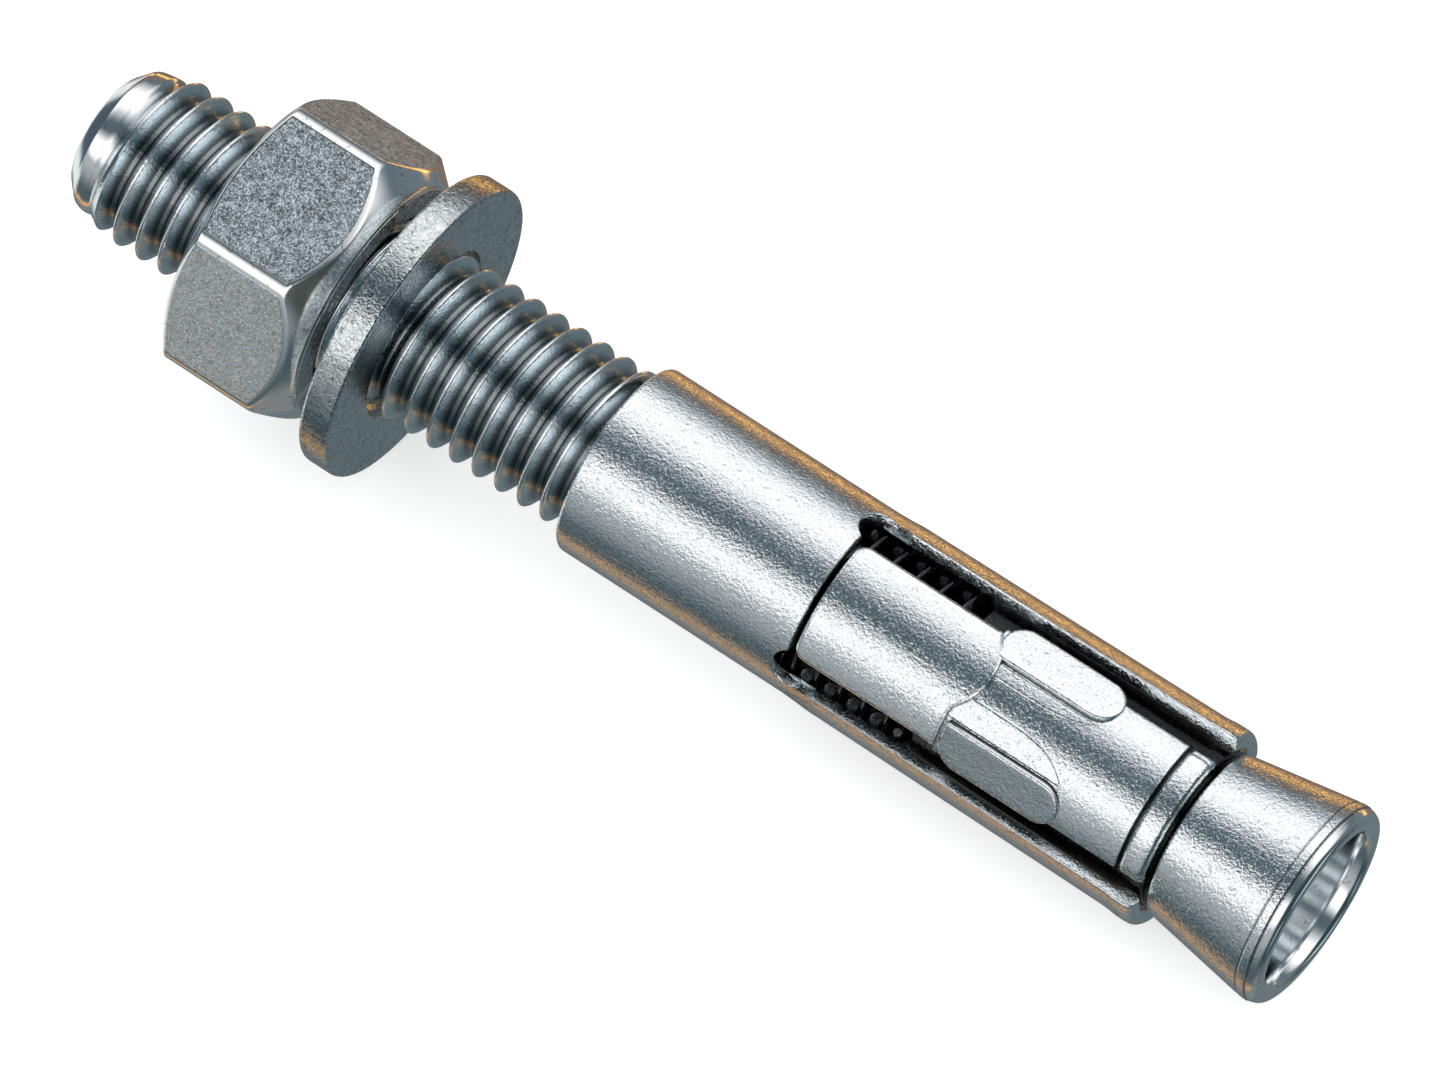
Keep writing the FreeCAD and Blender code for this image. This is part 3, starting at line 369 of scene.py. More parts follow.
def sleeve_shells():
    """Each half is a skin stretched from a window's edge to the ring's top and the legs' middles.

    A point's share runs from 0 at the window's edge to 1 at the far border, and both skins meet
    the cut wall through a small rounding. The far border follows the edge's own length.
    """
    edge = window_edge()
    count = len(edge)
    steps = np.hypot(np.diff(edge[:, 0]) * DEGREE, np.diff(edge[:, 1]))
    lengths = np.concatenate([[0], np.cumsum(steps)])
    from_top = np.abs(edge[:, 1] - (HEAD_STATION - HEAD_RADIUS))
    corner = int(np.argmin(from_top + 1e-3 * np.abs(edge[:, 0] - HEAD_ANGLE)))
    border = np.zeros((count, 2))
    top_share = lengths[:corner + 1] / lengths[corner]
    border[:corner + 1, 0] = 90 * top_share
    border[:corner + 1, 1] = SLEEVE_START
    side = np.arange(corner, count)
    fall = edge[side, 1] - edge[corner, 1]
    fall = np.maximum.accumulate(fall) / fall[-1]
    fall = fall + 0.02 * np.linspace(0, 1, len(side)) * (1 - fall)
    border[side, 0] = 90
    border[side, 1] = SLEEVE_START + (SLEEVE_END - SLEEVE_START) * fall
    near = np.geomspace(0.004, 0.5, 19)
    shares = np.concatenate([[0.0], near, 1 - near[::-1][1:], [1.0]])
    half = edge[None] * (1 - shares[:, None, None]) + border[None] * shares[:, None, None]
    angle, station = half[..., 0], half[..., 1]
    reach = np.hypot((border[:, 0] - edge[:, 0]) * DEGREE, border[:, 1] - edge[:, 1])
    drop = rounding(shares[:, None] * reach[None], CUT_EASE)
    top_drop = rounding(station - SLEEVE_START, TOP_EASE)
    toe_drop = rounding(SLEEVE_END - station, TOE_EASE)
    outer = sleeve_outside(station) - drop - top_drop - toe_drop
    inner = sleeve_inside(station) + 0.6 * drop + 0.3 * top_drop + 0.35 * toe_drop
    shells = []
    for turn in (0, 180):
        for sign in (1, -1):
            angles = SLEEVE_ROLL + turn + sign * angle
            outside = place(station, outer, angles)
            inside = place(station, inner, angles)
            middle = 0.5 * (outside + inside)
            cut = np.stack([outside[0], middle[0], inside[0]])
            far = np.stack([outside[-1], inside[-1]])[:, :corner + 1]
            toe = np.stack([outside[:, -1], middle[:, -1], inside[:, -1]])
            faces = grid_faces(*angle.shape)
            flip = faces[:, ::-1]
            shells.append((outside, flip if sign > 0 else faces))
            shells.append((inside, faces if sign > 0 else flip))
            for border_wall, keep in ((cut, True), (far, False), (toe, True)):
                wall_faces = grid_faces(*border_wall.shape[:2])
                shells.append((border_wall, wall_faces if keep == (sign > 0) else wall_faces[:, ::-1]))
    return shells


# Expansion clip. The halves of tongue, band and bead, BAND_FOOT, BEAD_ROUNDING and the pads' angle,
# skew and tilts are in degrees, the rest in millimetres. Side 1 is the pad towards the front of the
# upper window, and side -1 the one towards the back.
TONGUE_START = 49.3
TONGUE_MIDDLE = 54.5
TONGUE_HALF = 38.6
TONGUE_CORNER = 0.75
TONGUE_WALL = 0.64
LIP = 58.45
LIP_RISE = 1.1
LIP_HALF_WIDTH = 2.5
LIP_SHIFT = -1.2
LIP_WAVE = 0.08
LIP_WAVE_WIDTH = 0.3
COLLAR_START = 56.85
BAND_RADIUS = 5.38
BAND_HALF = 44.4
BAND_FOOT = 51.7
WEB_RADIUS = 4.85
WEB_BORE = 4.23
GROOVE = 70.15
GROOVE_DEPTH = 0.46
BEAD = 70.45
CLIP_END = 71.9
BEAD_HALF = 40.7
BEAD_ROUNDING = 4.0
PAD_ANGLE = 35.85
PAD_SKEW = -2.05
PAD_HALF = 1.33
PAD_START = 58.6
PAD_END = 66.2
PAD_HEIGHT = 5.6
PAD_CORNER = 0.22
PAD_TILTS = {1: 4.5, -1: 0.0}
RAMP_LIFT = 0.02
RAMP_WIDTHS = {1: 1.72, -1: 1.0}
RAMP_END = 65.9
RAMP_CURVE = 0.9


def lip_line(across):
    """Station of the tongue's lower lip: level at both sides, with a flat arc's bulge off centre and
    a slight wave where the arc meets the level parts.
    """
    bow = (LIP_HALF_WIDTH ** 2 + LIP_RISE ** 2) / (2 * LIP_RISE)
    away = np.clip(np.abs(across - LIP_SHIFT), 0, LIP_HALF_WIDTH)
    arc = np.sqrt(bow ** 2 - away ** 2) - (bow - LIP_RISE)
    from_foot = np.abs(across - LIP_SHIFT) - LIP_HALF_WIDTH
    return LIP + arc + LIP_WAVE * np.exp(-(from_foot / LIP_WAVE_WIDTH) ** 2)


def tongue_shells(turn):
    """A curved plate with a rounded rim. Its outline has two rounded top corners and the lip line
    as its lower side; rows run inwards from the outline and then close on the plate's middle line.
    """
    corner = TONGUE_CORNER
    half = TONGUE_HALF * DEGREE
    down = np.linspace(lip_line(-half), TONGUE_START + corner, 30)
    bend = np.linspace(0, math.pi / 2, 9)[1:]
    level = np.linspace(-half + corner, half - corner, 30)[1:]
    lower = np.linspace(half, -half, 100)[1:]
    left = np.stack([0 * down - half, down], 1)
    bend_across = -half + corner * (1 - np.cos(bend))
    left_bend = np.stack([bend_across, TONGUE_START + corner * (1 - np.sin(bend))], 1)
    top = np.stack([level, 0 * level + TONGUE_START], 1)
    right_bend = left_bend[::-1][1:] * [-1, 1]
    right = left[::-1] * [-1, 1]
    lip = np.stack([lower, lip_line(lower)], 1)
    rim = np.concatenate([left, left_bend, top, right_bend, right, lip])
    forward = np.roll(rim[:-1], -1, 0) - np.roll(rim[:-1], 1, 0)
    forward = np.concatenate([forward, forward[:1]])
    normal = np.stack([forward[:, 1], -forward[:, 0]], 1)
    normal /= np.linalg.norm(normal, axis=1)[:, None]
    inwards = np.sign((normal * ([0, TONGUE_MIDDLE] - rim)).sum(1).mean())
    depths = np.array([0.0, 0.02, 0.05, 0.15, 0.185, 0.22])
    insets = np.array([0.13, 0.075, 0.055, 0.012, 0.0, 0.0])
    # Painted shade along the rim's outer edge and in a line just inside it.
    rim_painted_shade = np.array([0.7, 0.1, 0.0, 0.0, 0.55, 0.0])
    rows = [rim + inwards * normal * depth for depth in depths]
    shares = np.array([0.12, 0.3, 0.5, 0.7, 0.88, 1.0])
    middle = np.stack([0 * rim[:, 0], 0 * rim[:, 0] + TONGUE_MIDDLE], 1)
    last_row = rows[-1]
    rows += [last_row * (1 - share) + middle * share for share in shares]
    flat = np.stack(rows)
    drop = np.concatenate([insets, 0 * shares])[:, None]
    painted_shade = np.concatenate([rim_painted_shade, 0 * shares])[:, None] + 0 * flat[..., 0]
    angles = CLIP_ROLL + turn + flat[..., 0] / DEGREE
    outside = place(flat[..., 1], RING_RADIUS - drop + 0 * angles, angles)
    inside = place(flat[..., 1], RING_RADIUS - TONGUE_WALL + 0.5 * drop + 0 * angles, angles)
    wall = np.stack([outside[0], inside[0]])
    faces = grid_faces(*flat.shape[:2])
    wall_faces = grid_faces(*wall.shape[:2])
    return [(outside, faces, painted_shade), (inside, faces[:, ::-1]), (wall, wall_faces[:, ::-1])]


def band_shell():
    """The band as one closed ring. At each angle its outer profile runs over the collar, the band,
    the groove and the bead; the band's height falls down slanted flanks to the webs that run under
    the sleeve's legs, and the bead's two ends are rounded off. All that lies below the band's height,
    the webs, the collar, the bore and the groove's floor, is darkened with painted shade.
    """
    quarter = tour((0, 16), (34, 14), (BEAD_HALF - 0.3, 8), (BEAD_HALF + 0.3, 6),
                   (BAND_HALF - 1, 6), (BAND_HALF + 1, 6), (BAND_FOOT, 8), (90, 1))
    half = np.concatenate([-quarter[::-1], quarter[1:]])
    angles = np.concatenate([half, half[1:] + 180])
    away = np.abs((angles + 90) % 180 - 90)
    flank = smooth_step(away, BAND_HALF - 1.2, BAND_FOOT)
    body = BAND_RADIUS + (WEB_RADIUS - BAND_RADIUS) * flank
    sunk = body - GROOVE_DEPTH * (1 - flank)
    end = np.clip((away - BEAD_HALF + BEAD_ROUNDING) / BEAD_ROUNDING, 0, 1)
    rounded = body + (RING_RADIUS + 0.02 - body) * np.sqrt(np.clip(1 - end ** 2, 0, 1))
    crown = np.maximum(sunk + 0.01, rounded)
    sizes = [0, 0.08, 0.01, 0.02, 0.1, 0.03, 0.03, 0.5, 0.6, 0.02, 0]
    columns = []
    for radius, low, top in zip(body, sunk, crown):
        corners = [(COLLAR_START, WEB_BORE), (COLLAR_START, WEB_RADIUS), (LIP - 0.1, WEB_RADIUS),
                   (LIP - 0.04, radius), (GROOVE, radius), (GROOVE + 0.04, low), (BEAD - 0.04, low),
                   (BEAD, top), (CLIP_END, top), (CLIP_END, WEB_BORE), (COLLAR_START, WEB_BORE)]
        columns.append(soften(corners, sizes, 6))
    profile = np.stack(columns, 1)
    points = place(profile[..., 0], profile[..., 1], angles[None, :] + CLIP_ROLL)
    # Painted shade on all that lies below the band's height: webs, collar, bore and the groove's floor.
    painted_shade = 1 - smooth_step(profile[..., 1], 4.93, 5.1)
    return points, grid_faces(profile.shape[0], len(angles)), painted_shade


def pad_shell(turn, side):
    """A raised flat pad: an outline with a round far end and, at the lip, a small inner corner and a
    round outer one, drawn in from its rim to its middle line; flat on top, with a small rounded
    edge and straight walls that reach into the band. The lower pad's top leans outwards a little.
    """
    low = PAD_START + PAD_HALF
    high = PAD_END - PAD_HALF
    inner = -PAD_HALF
    run = np.concatenate([[PAD_START + PAD_CORNER], np.linspace(low, high, 12)])
    bend = np.linspace(0, math.pi, 25)[1:]
    quarter = np.linspace(0, math.pi / 2, 13)[1:]
    small = np.linspace(0, math.pi / 2, 6)[1:]
    back_run = np.linspace(high, low, 12)[1:]
    level = np.linspace(0, inner + PAD_CORNER, 6)[1:]
    rise = np.stack([0 * run + inner, run], 1)
    over = np.stack([-PAD_HALF * np.cos(bend), high + PAD_HALF * np.sin(bend)], 1)
    back = np.stack([0 * back_run + PAD_HALF, back_run], 1)
    under = np.stack([PAD_HALF * np.cos(quarter), low - PAD_HALF * np.sin(quarter)], 1)
    across_lip = np.stack([level, 0 * level + PAD_START], 1)
    corner_across = inner + PAD_CORNER * (1 - np.sin(small))
    corner = np.stack([corner_across, PAD_START + PAD_CORNER * (1 - np.cos(small))], 1)
    rim = np.concatenate([rise, over, back, under, across_lip, corner])
    spine = np.stack([0 * rim[:, 0], np.clip(rim[:, 1], low, high)], 1)
    share_list = [0.0, 1.0, 1.0, 1.0, 0.985, 0.95, 0.9, 0.85, 0.6, 0.3, 0.0]
    height_list = [-0.75, -0.75, -0.3, -0.13, -0.075, -0.03, -0.008, 0.0, 0.0, 0.0, 0.0]
    shares = np.array(share_list)[:, None]
    heights = np.array(height_list)[:, None]
    across = (rim[:, 0] - spine[:, 0])[None] * shares + spine[None, :, 0]
    station = (rim[:, 1] - spine[:, 1])[None] * shares + spine[None, :, 1]
    height = PAD_HEIGHT + heights - math.tan(math.radians(PAD_TILTS[side])) * across
    centre = CLIP_ROLL + turn + PAD_SKEW + side * PAD_ANGLE
    angle = centre + side * np.degrees(np.arctan2(across, height))
    # Painted shade on the pad's walls, where they go down into the band.
    painted_shade = smooth_step(-heights, 0.12, 0.28) + 0 * across
    faces = grid_faces(*station.shape)
    return place(station, np.hypot(height, across), angle), faces[:, ::-1] if side > 0 else faces, painted_shade


def ramp_shell(turn, side):
    """The flat facet beside a pad: a plane whose normal points to the middle of its width, with a
    narrow crease towards the pad that is darkened with painted shade, rounded edges and a low
    shoulder down to the band. It starts under the lip and closes in a curve towards the pad's far end.
    """
    straight = np.linspace(LIP - 0.2, RAMP_END - RAMP_CURVE, 30)
    stations = np.concatenate([straight, np.linspace(RAMP_END - RAMP_CURVE, RAMP_END, 22)[1:]])
    run = np.clip((stations - LIP) / (RAMP_END - LIP), 0, 1)
    widest = RAMP_WIDTHS[side]
    width = np.maximum(widest * (1 - run ** 6), 0.3)
    edge_angle = math.degrees(math.atan2(PAD_HALF, PAD_HEIGHT))
    facing = PAD_ANGLE - edge_angle - math.degrees(widest / 2 / BAND_RADIUS)
    plane = BAND_RADIUS + RAMP_LIFT
    inner = np.array([-0.12, 0.1, 0.115, 0.135, 0.17, 0.22, 0.28])
    inner_falls = np.array([0.3, 0.3, 0.15, 0.07, 0.03, 0.008, 0.0])
    # Painted shade in the crease next to the pad.
    crease_painted_shade = np.array([1.0, 1.0, 1.0, 0.2, 0.0, 0.0, 0.0])
    outer = np.array([-0.14, -0.07, 0.0, 0.08, 0.16])
    outer_falls = np.array([0.0, 0.012, 0.05, 0.12, 0.3])
    middle = np.array([0.2, 0.4, 0.6, 0.8])
    flat = inner[-1] + (width - inner[-1] + outer[0]) * middle[:, None]
    across = np.concatenate([inner[:, None] + 0 * width, flat, width[None, :] + outer[:, None]])
    falls = np.concatenate([inner_falls, 0 * middle, outer_falls])[:, None]
    painted_shades = np.concatenate([crease_painted_shade, 0 * middle, 0 * outer])[:, None]
    closing = smooth_step(run, 0.97, 1.0) * 0.3
    away = PAD_ANGLE - edge_angle - np.degrees(across / BAND_RADIUS)
    radius = plane / np.cos(np.radians(away - facing)) - falls - closing
    angle = CLIP_ROLL + turn + PAD_SKEW + side * away
    points = place(stations[None, :] + 0 * radius, radius, angle)
    return closed(points, painted_shades + 0 * radius, side < 0)


def clip_shells():
    """The band with both tongues, and each tongue's two pads and two facets."""
    shells = [band_shell()]
    for turn in (0, 180):
        shells += tongue_shells(turn)
        for side in (1, -1):
            shells.append(pad_shell(turn, side))
            shells.append(ramp_shell(turn, side))
    return shells


# Expander cone
CONE_GROOVES = ((78.68, 0.05, 0.6), (79.31, 0.06, 0.8))


def cone_shell():
    """A turned cone with a small head, a slow taper, a band between two fine grooves darkened with
    painted shade, a rolled rim and a deep mouth with an eased edge. CONE_GROOVES gives each
    groove's station, half width and share of painted shade.
    """
    corners = [(72.15, 4.0), (72.15, 4.95), (78.6, 6.02), (78.68, 5.96), (78.78, 6.05), (79.22, 6.08),
               (79.3, 5.98), (79.42, 6.02), (79.82, 5.86), (80.0, 5.5), (80.0, 5.1), (79.8, 4.8),
               (79.2, 4.62), (76.4, 4.5), (76.4, 4.0), (72.15, 4.0)]
    sizes = [0, 0.25, 0.04, 0.04, 0.05, 0.05, 0.04, 0.06, 0.25, 0.25, 0.2, 0.25, 0.3, 0.5, 0.05, 0]
    profile = soften(corners, sizes, 6)
    points, faces = turned(profile, 192)
    outside = profile[:, 1] > 5.9
    # Painted shade in the two grooves on the outside.
    groove = sum(np.exp(-((profile[:, 0] - station) / width) ** 2) * share
                 for station, width, share in CONE_GROOVES)
    painted_shade = (groove * outside)[:, None] + 0 * points[..., 0]
    return points, faces, painted_shade


pieces = {
    "stud": mesh_piece("stud_threaded", stud_shell(), "stud", "anchor_bolt"),
    "nut": mesh_piece("nut_chamfered", [nut_shell()], "hex_nut", "nut"),
    "washer": mesh_piece("washer_eased", [washer_shell()], "flat_washer", "washer"),
    "sleeve": mesh_piece("sleeve_rolled", sleeve_shells(), "sleeve", "sleeve"),
    "clip": mesh_piece("clip_formed", clip_shells(), "expansion_clip", "anchor_bolt"),
    "cone": mesh_piece("cone_turned", [cone_shell()], "expander_cone", "anchor_bolt"),
}


# Materials
class Wire:
    """A shader socket that sums, scales and compares like a number."""

    def __init__(self, shade, socket):
        self.shade = shade
        self.socket = socket

    def math(self, operation, other=None, swap=False):
        """A Math node on this and another socket or number; swap puts the other one first."""
        terms = [other, self] if swap else [self, other]
        values = {index: term for index, term in enumerate(terms) if term is not None}
        return self.shade.node("ShaderNodeMath", 0, values, operation=operation)

    def __add__(self, other):
        return self.math("ADD", other)

    __radd__ = __add__

    def __sub__(self, other):
        return self.math("SUBTRACT", other)

    def __rsub__(self, other):
        return self.math("SUBTRACT", other, swap=True)

    def __mul__(self, other):
        return self.math("MULTIPLY", other)

    __rmul__ = __mul__

    def __pow__(self, other):
        return self.math("POWER", other)

    def __abs__(self):
        return self.math("ABSOLUTE")

    def high(self, other):
        """The larger of the two."""
        return self.math("MAXIMUM", other)

    def ramp(self, low, high):
        """0 at low, 1 at high, clamped, with an easy curve between."""
        values = {"Value": self, "From Min": low, "From Max": high}
        return self.shade.node("ShaderNodeMapRange", "Result", values, interpolation_type="SMOOTHSTEP")


class Shade:
    """Builds one material's nodes: every node goes through node()."""

    def __init__(self, name):
        self.material = bpy.data.materials.new(name)
        self.material.use_nodes = True
        self.tree = self.material.node_tree
        self.tree.nodes.clear()

    def node(self, kind, out=0, values=None, **settings):
        """A node by its type, settings and values or links for its sockets; gives one output."""
        node = self.tree.nodes.new(kind)
        for key, setting in settings.items():
            setattr(node, key, setting)
        for key, entry in (values or {}).items():
            if isinstance(entry, Wire):
                self.tree.links.new(entry.socket, node.inputs[key])
            else:
                node.inputs[key].default_value = entry
        return Wire(self, node.outputs[out]) if len(node.outputs) else None

    def parts(self, where):
        """The three numbers of a vector."""
        return [self.node("ShaderNodeSeparateXYZ", out, {"Vector": where}) for out in range(3)]

    def noise(self, where, scale, detail=2.0, rough=0.5, warp=0.0):
        """A noise texture's value at each point."""
        values = {"Vector": where, "Scale": scale, "Detail": detail, "Roughness": rough, "Distortion": warp}
        return self.node("ShaderNodeTexNoise", 0, values)

    def blend(self, share, first, second):
        """A colour between two colours; share 0 gives the first."""
        return self.node("ShaderNodeMix", 2, {0: share, 6: first, 7: second}, data_type="RGBA")

    def glow(self, colour, strength):
        """A plain emission."""
        return self.node("ShaderNodeEmission", 0, {"Color": colour, "Strength": strength})

    def finish(self, shader):
        """Joins the shader to the material's output and gives the material."""
        self.node("ShaderNodeOutputMaterial", 0, {"Surface": shader})
        return self.material


def anchor_space(shade):
    """Object coordinates turned into the anchor's own frame in millimetres: the station along the
    axis, then the distance to the back, then the distance up.
    """
    where = shade.node("ShaderNodeTexCoord", 3)
    rotation = Matrix([list(ALONG), list(-SIDE), list(UP)])
    start = -(rotation @ Vector(ORIGIN))
    values = {"Vector": where, "Rotation": tuple(rotation.to_euler("XYZ")), "Location": tuple(start),
              "Scale": (1000.0, 1000.0, 1000.0)}
    return shade.node("ShaderNodeMapping", 0, values, vector_type="POINT")


# Colours that the finishes share.
BRIGHT_EDGE = (0.9, 0.93, 0.94, 1.0)
HAIR_TONE = (0.16, 0.19, 0.2, 1.0)
PIT_TONE = (0.1, 0.11, 0.11, 1.0)
# The colour of painted shade, which creases, hollows, grooves and slots are darkened towards.
PAINTED_SHADE_TONE = (0.02, 0.022, 0.02, 1.0)
PLAIN_ROUGHNESS = 0.12


def plated(name, tone, rough=0.12, grain=0.03, grain_size=0.2, deep=0.88, pits=0.35, hard=0.2, matt=0.0,
           smooth=None, calm=None, added_shade=None, crest_highlight_tone=None, root_shade_share=1.0, curls=0.3):
    """Zinc-plated steel: a mottled grain that bends the reflections, patches in roughness and tone,
    small dark pits and fine curled dark strokes.

    tone is the lighter colour and deep the darker one's share of it; hard is half the width of the
    step between them. grain is the height of the grain in millimetres and grain_size its width; pits
    and curls are how strongly the pits and the strokes darken. smooth gives the share of the surface
    that keeps the grain, and the rest is bright and plain; matt is what the grained part loses of
    its mirror. calm gives the share where the tones stay close together. grime gives a share of
    painted shade on top of the piece's dirt attribute, which is painted shade in creases and hollows.
    crest_highlight_tone is a painted highlight colour on the thread's crests, and root_shade_share the
    share of the tone that is left at its roots, a painted shade in the thread's valleys.
    """
    shade = Shade(name)
    where = anchor_space(shade)
    station, back, up = shade.parts(where)
    radius = (back * back + up * up) ** 0.5
    mottle = shade.noise(where, 1.0 / grain_size, 1.0, 0.45, 0.6)
    speck = shade.noise(where, 1.35 / grain_size, 0.0, 0.5, 1.2)
    cloud = shade.noise(where, 0.5, 3.0, 0.55)
    patch = shade.noise(where, 1.6, 2.0, 0.5)
    pit = shade.noise(where, 0.6 / grain_size, 1.0, 0.5, 0.8)
    pitted = pit.ramp(0.66, 0.74) * pits
    dim = tuple(part * deep for part in tone)
    share = speck.ramp(0.5 - hard, 0.5 + hard) * 0.7 + patch.ramp(0.3, 0.7) * 0.3
    if calm:
        quiet = calm(station, back, up, radius)
        share = share * (1 - quiet * 0.7) + quiet * 0.5
    colour = shade.blend(share, (*dim, 1.0), (*tone, 1.0))
    curl = shade.noise(where, 0.95 / grain_size, 1.0, 0.5, 1.6)
    hair = (1 - abs(curl - 0.5).ramp(0.0, 0.035)) * curls
    colour = shade.blend(hair, colour, HAIR_TONE)
    # Painted shade in the thread's valleys and a painted highlight colour on its crests, by radius.
    if crest_highlight_tone:
        root = tuple(part * root_shade_share for part in tone)
        colour = shade.blend(radius.ramp(4.1, 4.66), (*root, 1.0), colour)
        colour = shade.blend(radius.ramp(4.74, 4.86), colour, (*crest_highlight_tone, 1.0))
    roughness = (cloud - 0.5) * 0.14 + (speck - 0.5) * 0.12 + rough
    height = mottle + speck * 0.5 - pitted * 0.7
    metal = 1.0
    if smooth:
        grained = smooth(station, back, up, radius)
        colour = shade.blend(1 - grained, colour, BRIGHT_EDGE)
        height = height * grained
        roughness = (roughness - PLAIN_ROUGHNESS) * grained + PLAIN_ROUGHNESS
        metal = 1 - grained * matt
    colour = shade.blend(pitted, colour, PIT_TONE)
    # Painted shade from the piece's attribute and the added share, darkening creases, hollows and slots.
    painted_shade = shade.node("ShaderNodeAttribute", 2, attribute_name="painted_shade") * 0.95
    if added_shade:
        painted_shade = painted_shade.high(added_shade(station, back, up, radius))
    colour = shade.blend(painted_shade, colour, PAINTED_SHADE_TONE)
    bump = shade.node("ShaderNodeBump", 0, {"Height": height, "Strength": 1.0, "Distance": grain * 0.001})
    values = {"Base Color": colour, "Metallic": metal, "Roughness": roughness, "Normal": bump}
    return shade.finish(shade.node("ShaderNodeBsdfPrincipled", 0, values))


def nut_flats(station, back, up, radius):
    """1 on the nut's six flats and 0 on its rounded corners and chamfers: the distance to the
    nearest corner in degrees and to the two chamfer cones decide.
    """
    turn = back.math("ARCTAN2", up) * (-180.0 / math.pi) + (360.0 + 30.0 - NUT_ROLL)
    corner = abs(turn.math("FLOORED_MODULO", 60.0) - 30.0)
    seat = NUT_END - station - (radius - NUT_SEAT_FACE) * NUT_SEAT_SLOPE
    tip = station - NUT_START - (radius - NUT_TIP_FACE) * NUT_TIP_SLOPE
    return corner.ramp(2.6, 3.2) * seat.ramp(0.16, 0.3) * tip.ramp(0.1, 0.2)


def nut_lower_face(station, back, up, radius):
    """1 on the nut's face towards the front, whose grain is quieter."""
    return 1 - back.ramp(-6.0, -5.6)


def thread_side(station, back, up, radius):
    """1 on the thread and 0 on the stud's plain bright end."""
    return station.ramp(1.9, 2.6)


def cone_outside(station, back, up, radius):
    """1 on the cone's outside and 0 on its rim and in its mouth."""
    return radius.ramp(4.7, 5.1) * (1 - station.ramp(79.2, 79.6))


def stud_slot_shade(station, back, up, radius):
    """Painted shade on the thread from the sleeve's windows on, so that its slots look dark."""
    return station.ramp(46.0, 49.0) * 0.9


FINISHES = {
    "stud": plated("zinc_thread", (0.78, 0.88, 0.92), grain=0.014, deep=0.8, pits=0.4, curls=0.0,
                   smooth=thread_side, added_shade=stud_slot_shade, crest_highlight_tone=(0.92, 0.94, 0.95), root_shade_share=0.3),
    "nut": plated("zinc_nut", (0.6, 0.7, 0.74), grain=0.14, deep=0.2, pits=0.5, hard=0.09, matt=0.22,
                  curls=0.0, smooth=nut_flats, calm=nut_lower_face),
    "washer": plated("zinc_washer", (0.82, 0.88, 0.89), rough=0.14, grain_size=0.24, deep=0.55, pits=0.6,
                     curls=0.5),
    "sleeve": plated("zinc_sleeve", (0.87, 0.92, 0.94), grain=0.028),
    "clip": plated("zinc_clip", (0.87, 0.92, 0.94), grain=0.026, pits=0.3),
    "cone": plated("zinc_cone", (0.87, 0.92, 0.94), grain_size=0.22, smooth=cone_outside),
}
NODE_FINISHES = {"stud": "stud", "hex_nut": "nut", "flat_washer": "washer", "sleeve": "sleeve",
                 "expansion_clip": "clip", "expander_cone": "cone"}
for key, piece in pieces.items():
    piece.data.materials.append(FINISHES[key])
for node_name, key in NODE_FINISHES.items():
    for slot in frame["nodes"][node_name].material_slots:
        slot.material = FINISHES[key]


# Stage
def stage_piece(name, points, faces, material, seen=True):
    """A mesh of the set. One that isn't seen shows in reflections only and throws no shadow."""
    mesh = bpy.data.meshes.new(name)
    mesh.from_pydata(np.asarray(points).reshape(-1, 3).tolist(), [], np.asarray(faces).tolist())
    mesh.materials.append(material)
    item = bpy.data.objects.new(name, mesh)
    bpy.context.scene.collection.objects.link(item)
    if not seen:
        item.visible_camera = False
        item.visible_shadow = False
        item.visible_diffuse = False
    return item


def seen_white(shade, other, strength):
    """White to camera, glossy and transmission rays, and the other shader to the rest."""
    rays = [shade.node("ShaderNodeLightPath", out) for out in (0, 3, 6)]
    share = rays[0].high(rays[1]).high(rays[2])
    white = shade.glow((1, 1, 1, 1), strength)
    return shade.node("ShaderNodeMixShader", 0, {0: share, 1: other, 2: white})


def between(value, low, high, edge_low, edge_high):
    """1 between low and high, falling off softly over the two edge widths."""
    return value.ramp(low - edge_low, low) * (1 - value.ramp(high, high + edge_high))


def floor_material():
    """A pale matt floor that is lifted towards white where it is seen and keeps a soft shadow."""
    shade = Shade("floor_pale")
    matt = shade.node("ShaderNodeBsdfDiffuse", 0, {"Color": (0.9, 0.9, 0.9, 1)})
    lifted = shade.node("ShaderNodeAddShader", 0, {0: matt, 1: seen_white(shade, matt, FLOOR_LIFT)})
    return shade.finish(lifted)


def flat_square(size, height):
    """A level square, twice the size on a side, as points and faces."""
    points = [(-size, -size, height), (size, -size, height), (size, size, height), (-size, size, height)]
    return points, [(0, 1, 2, 3)]


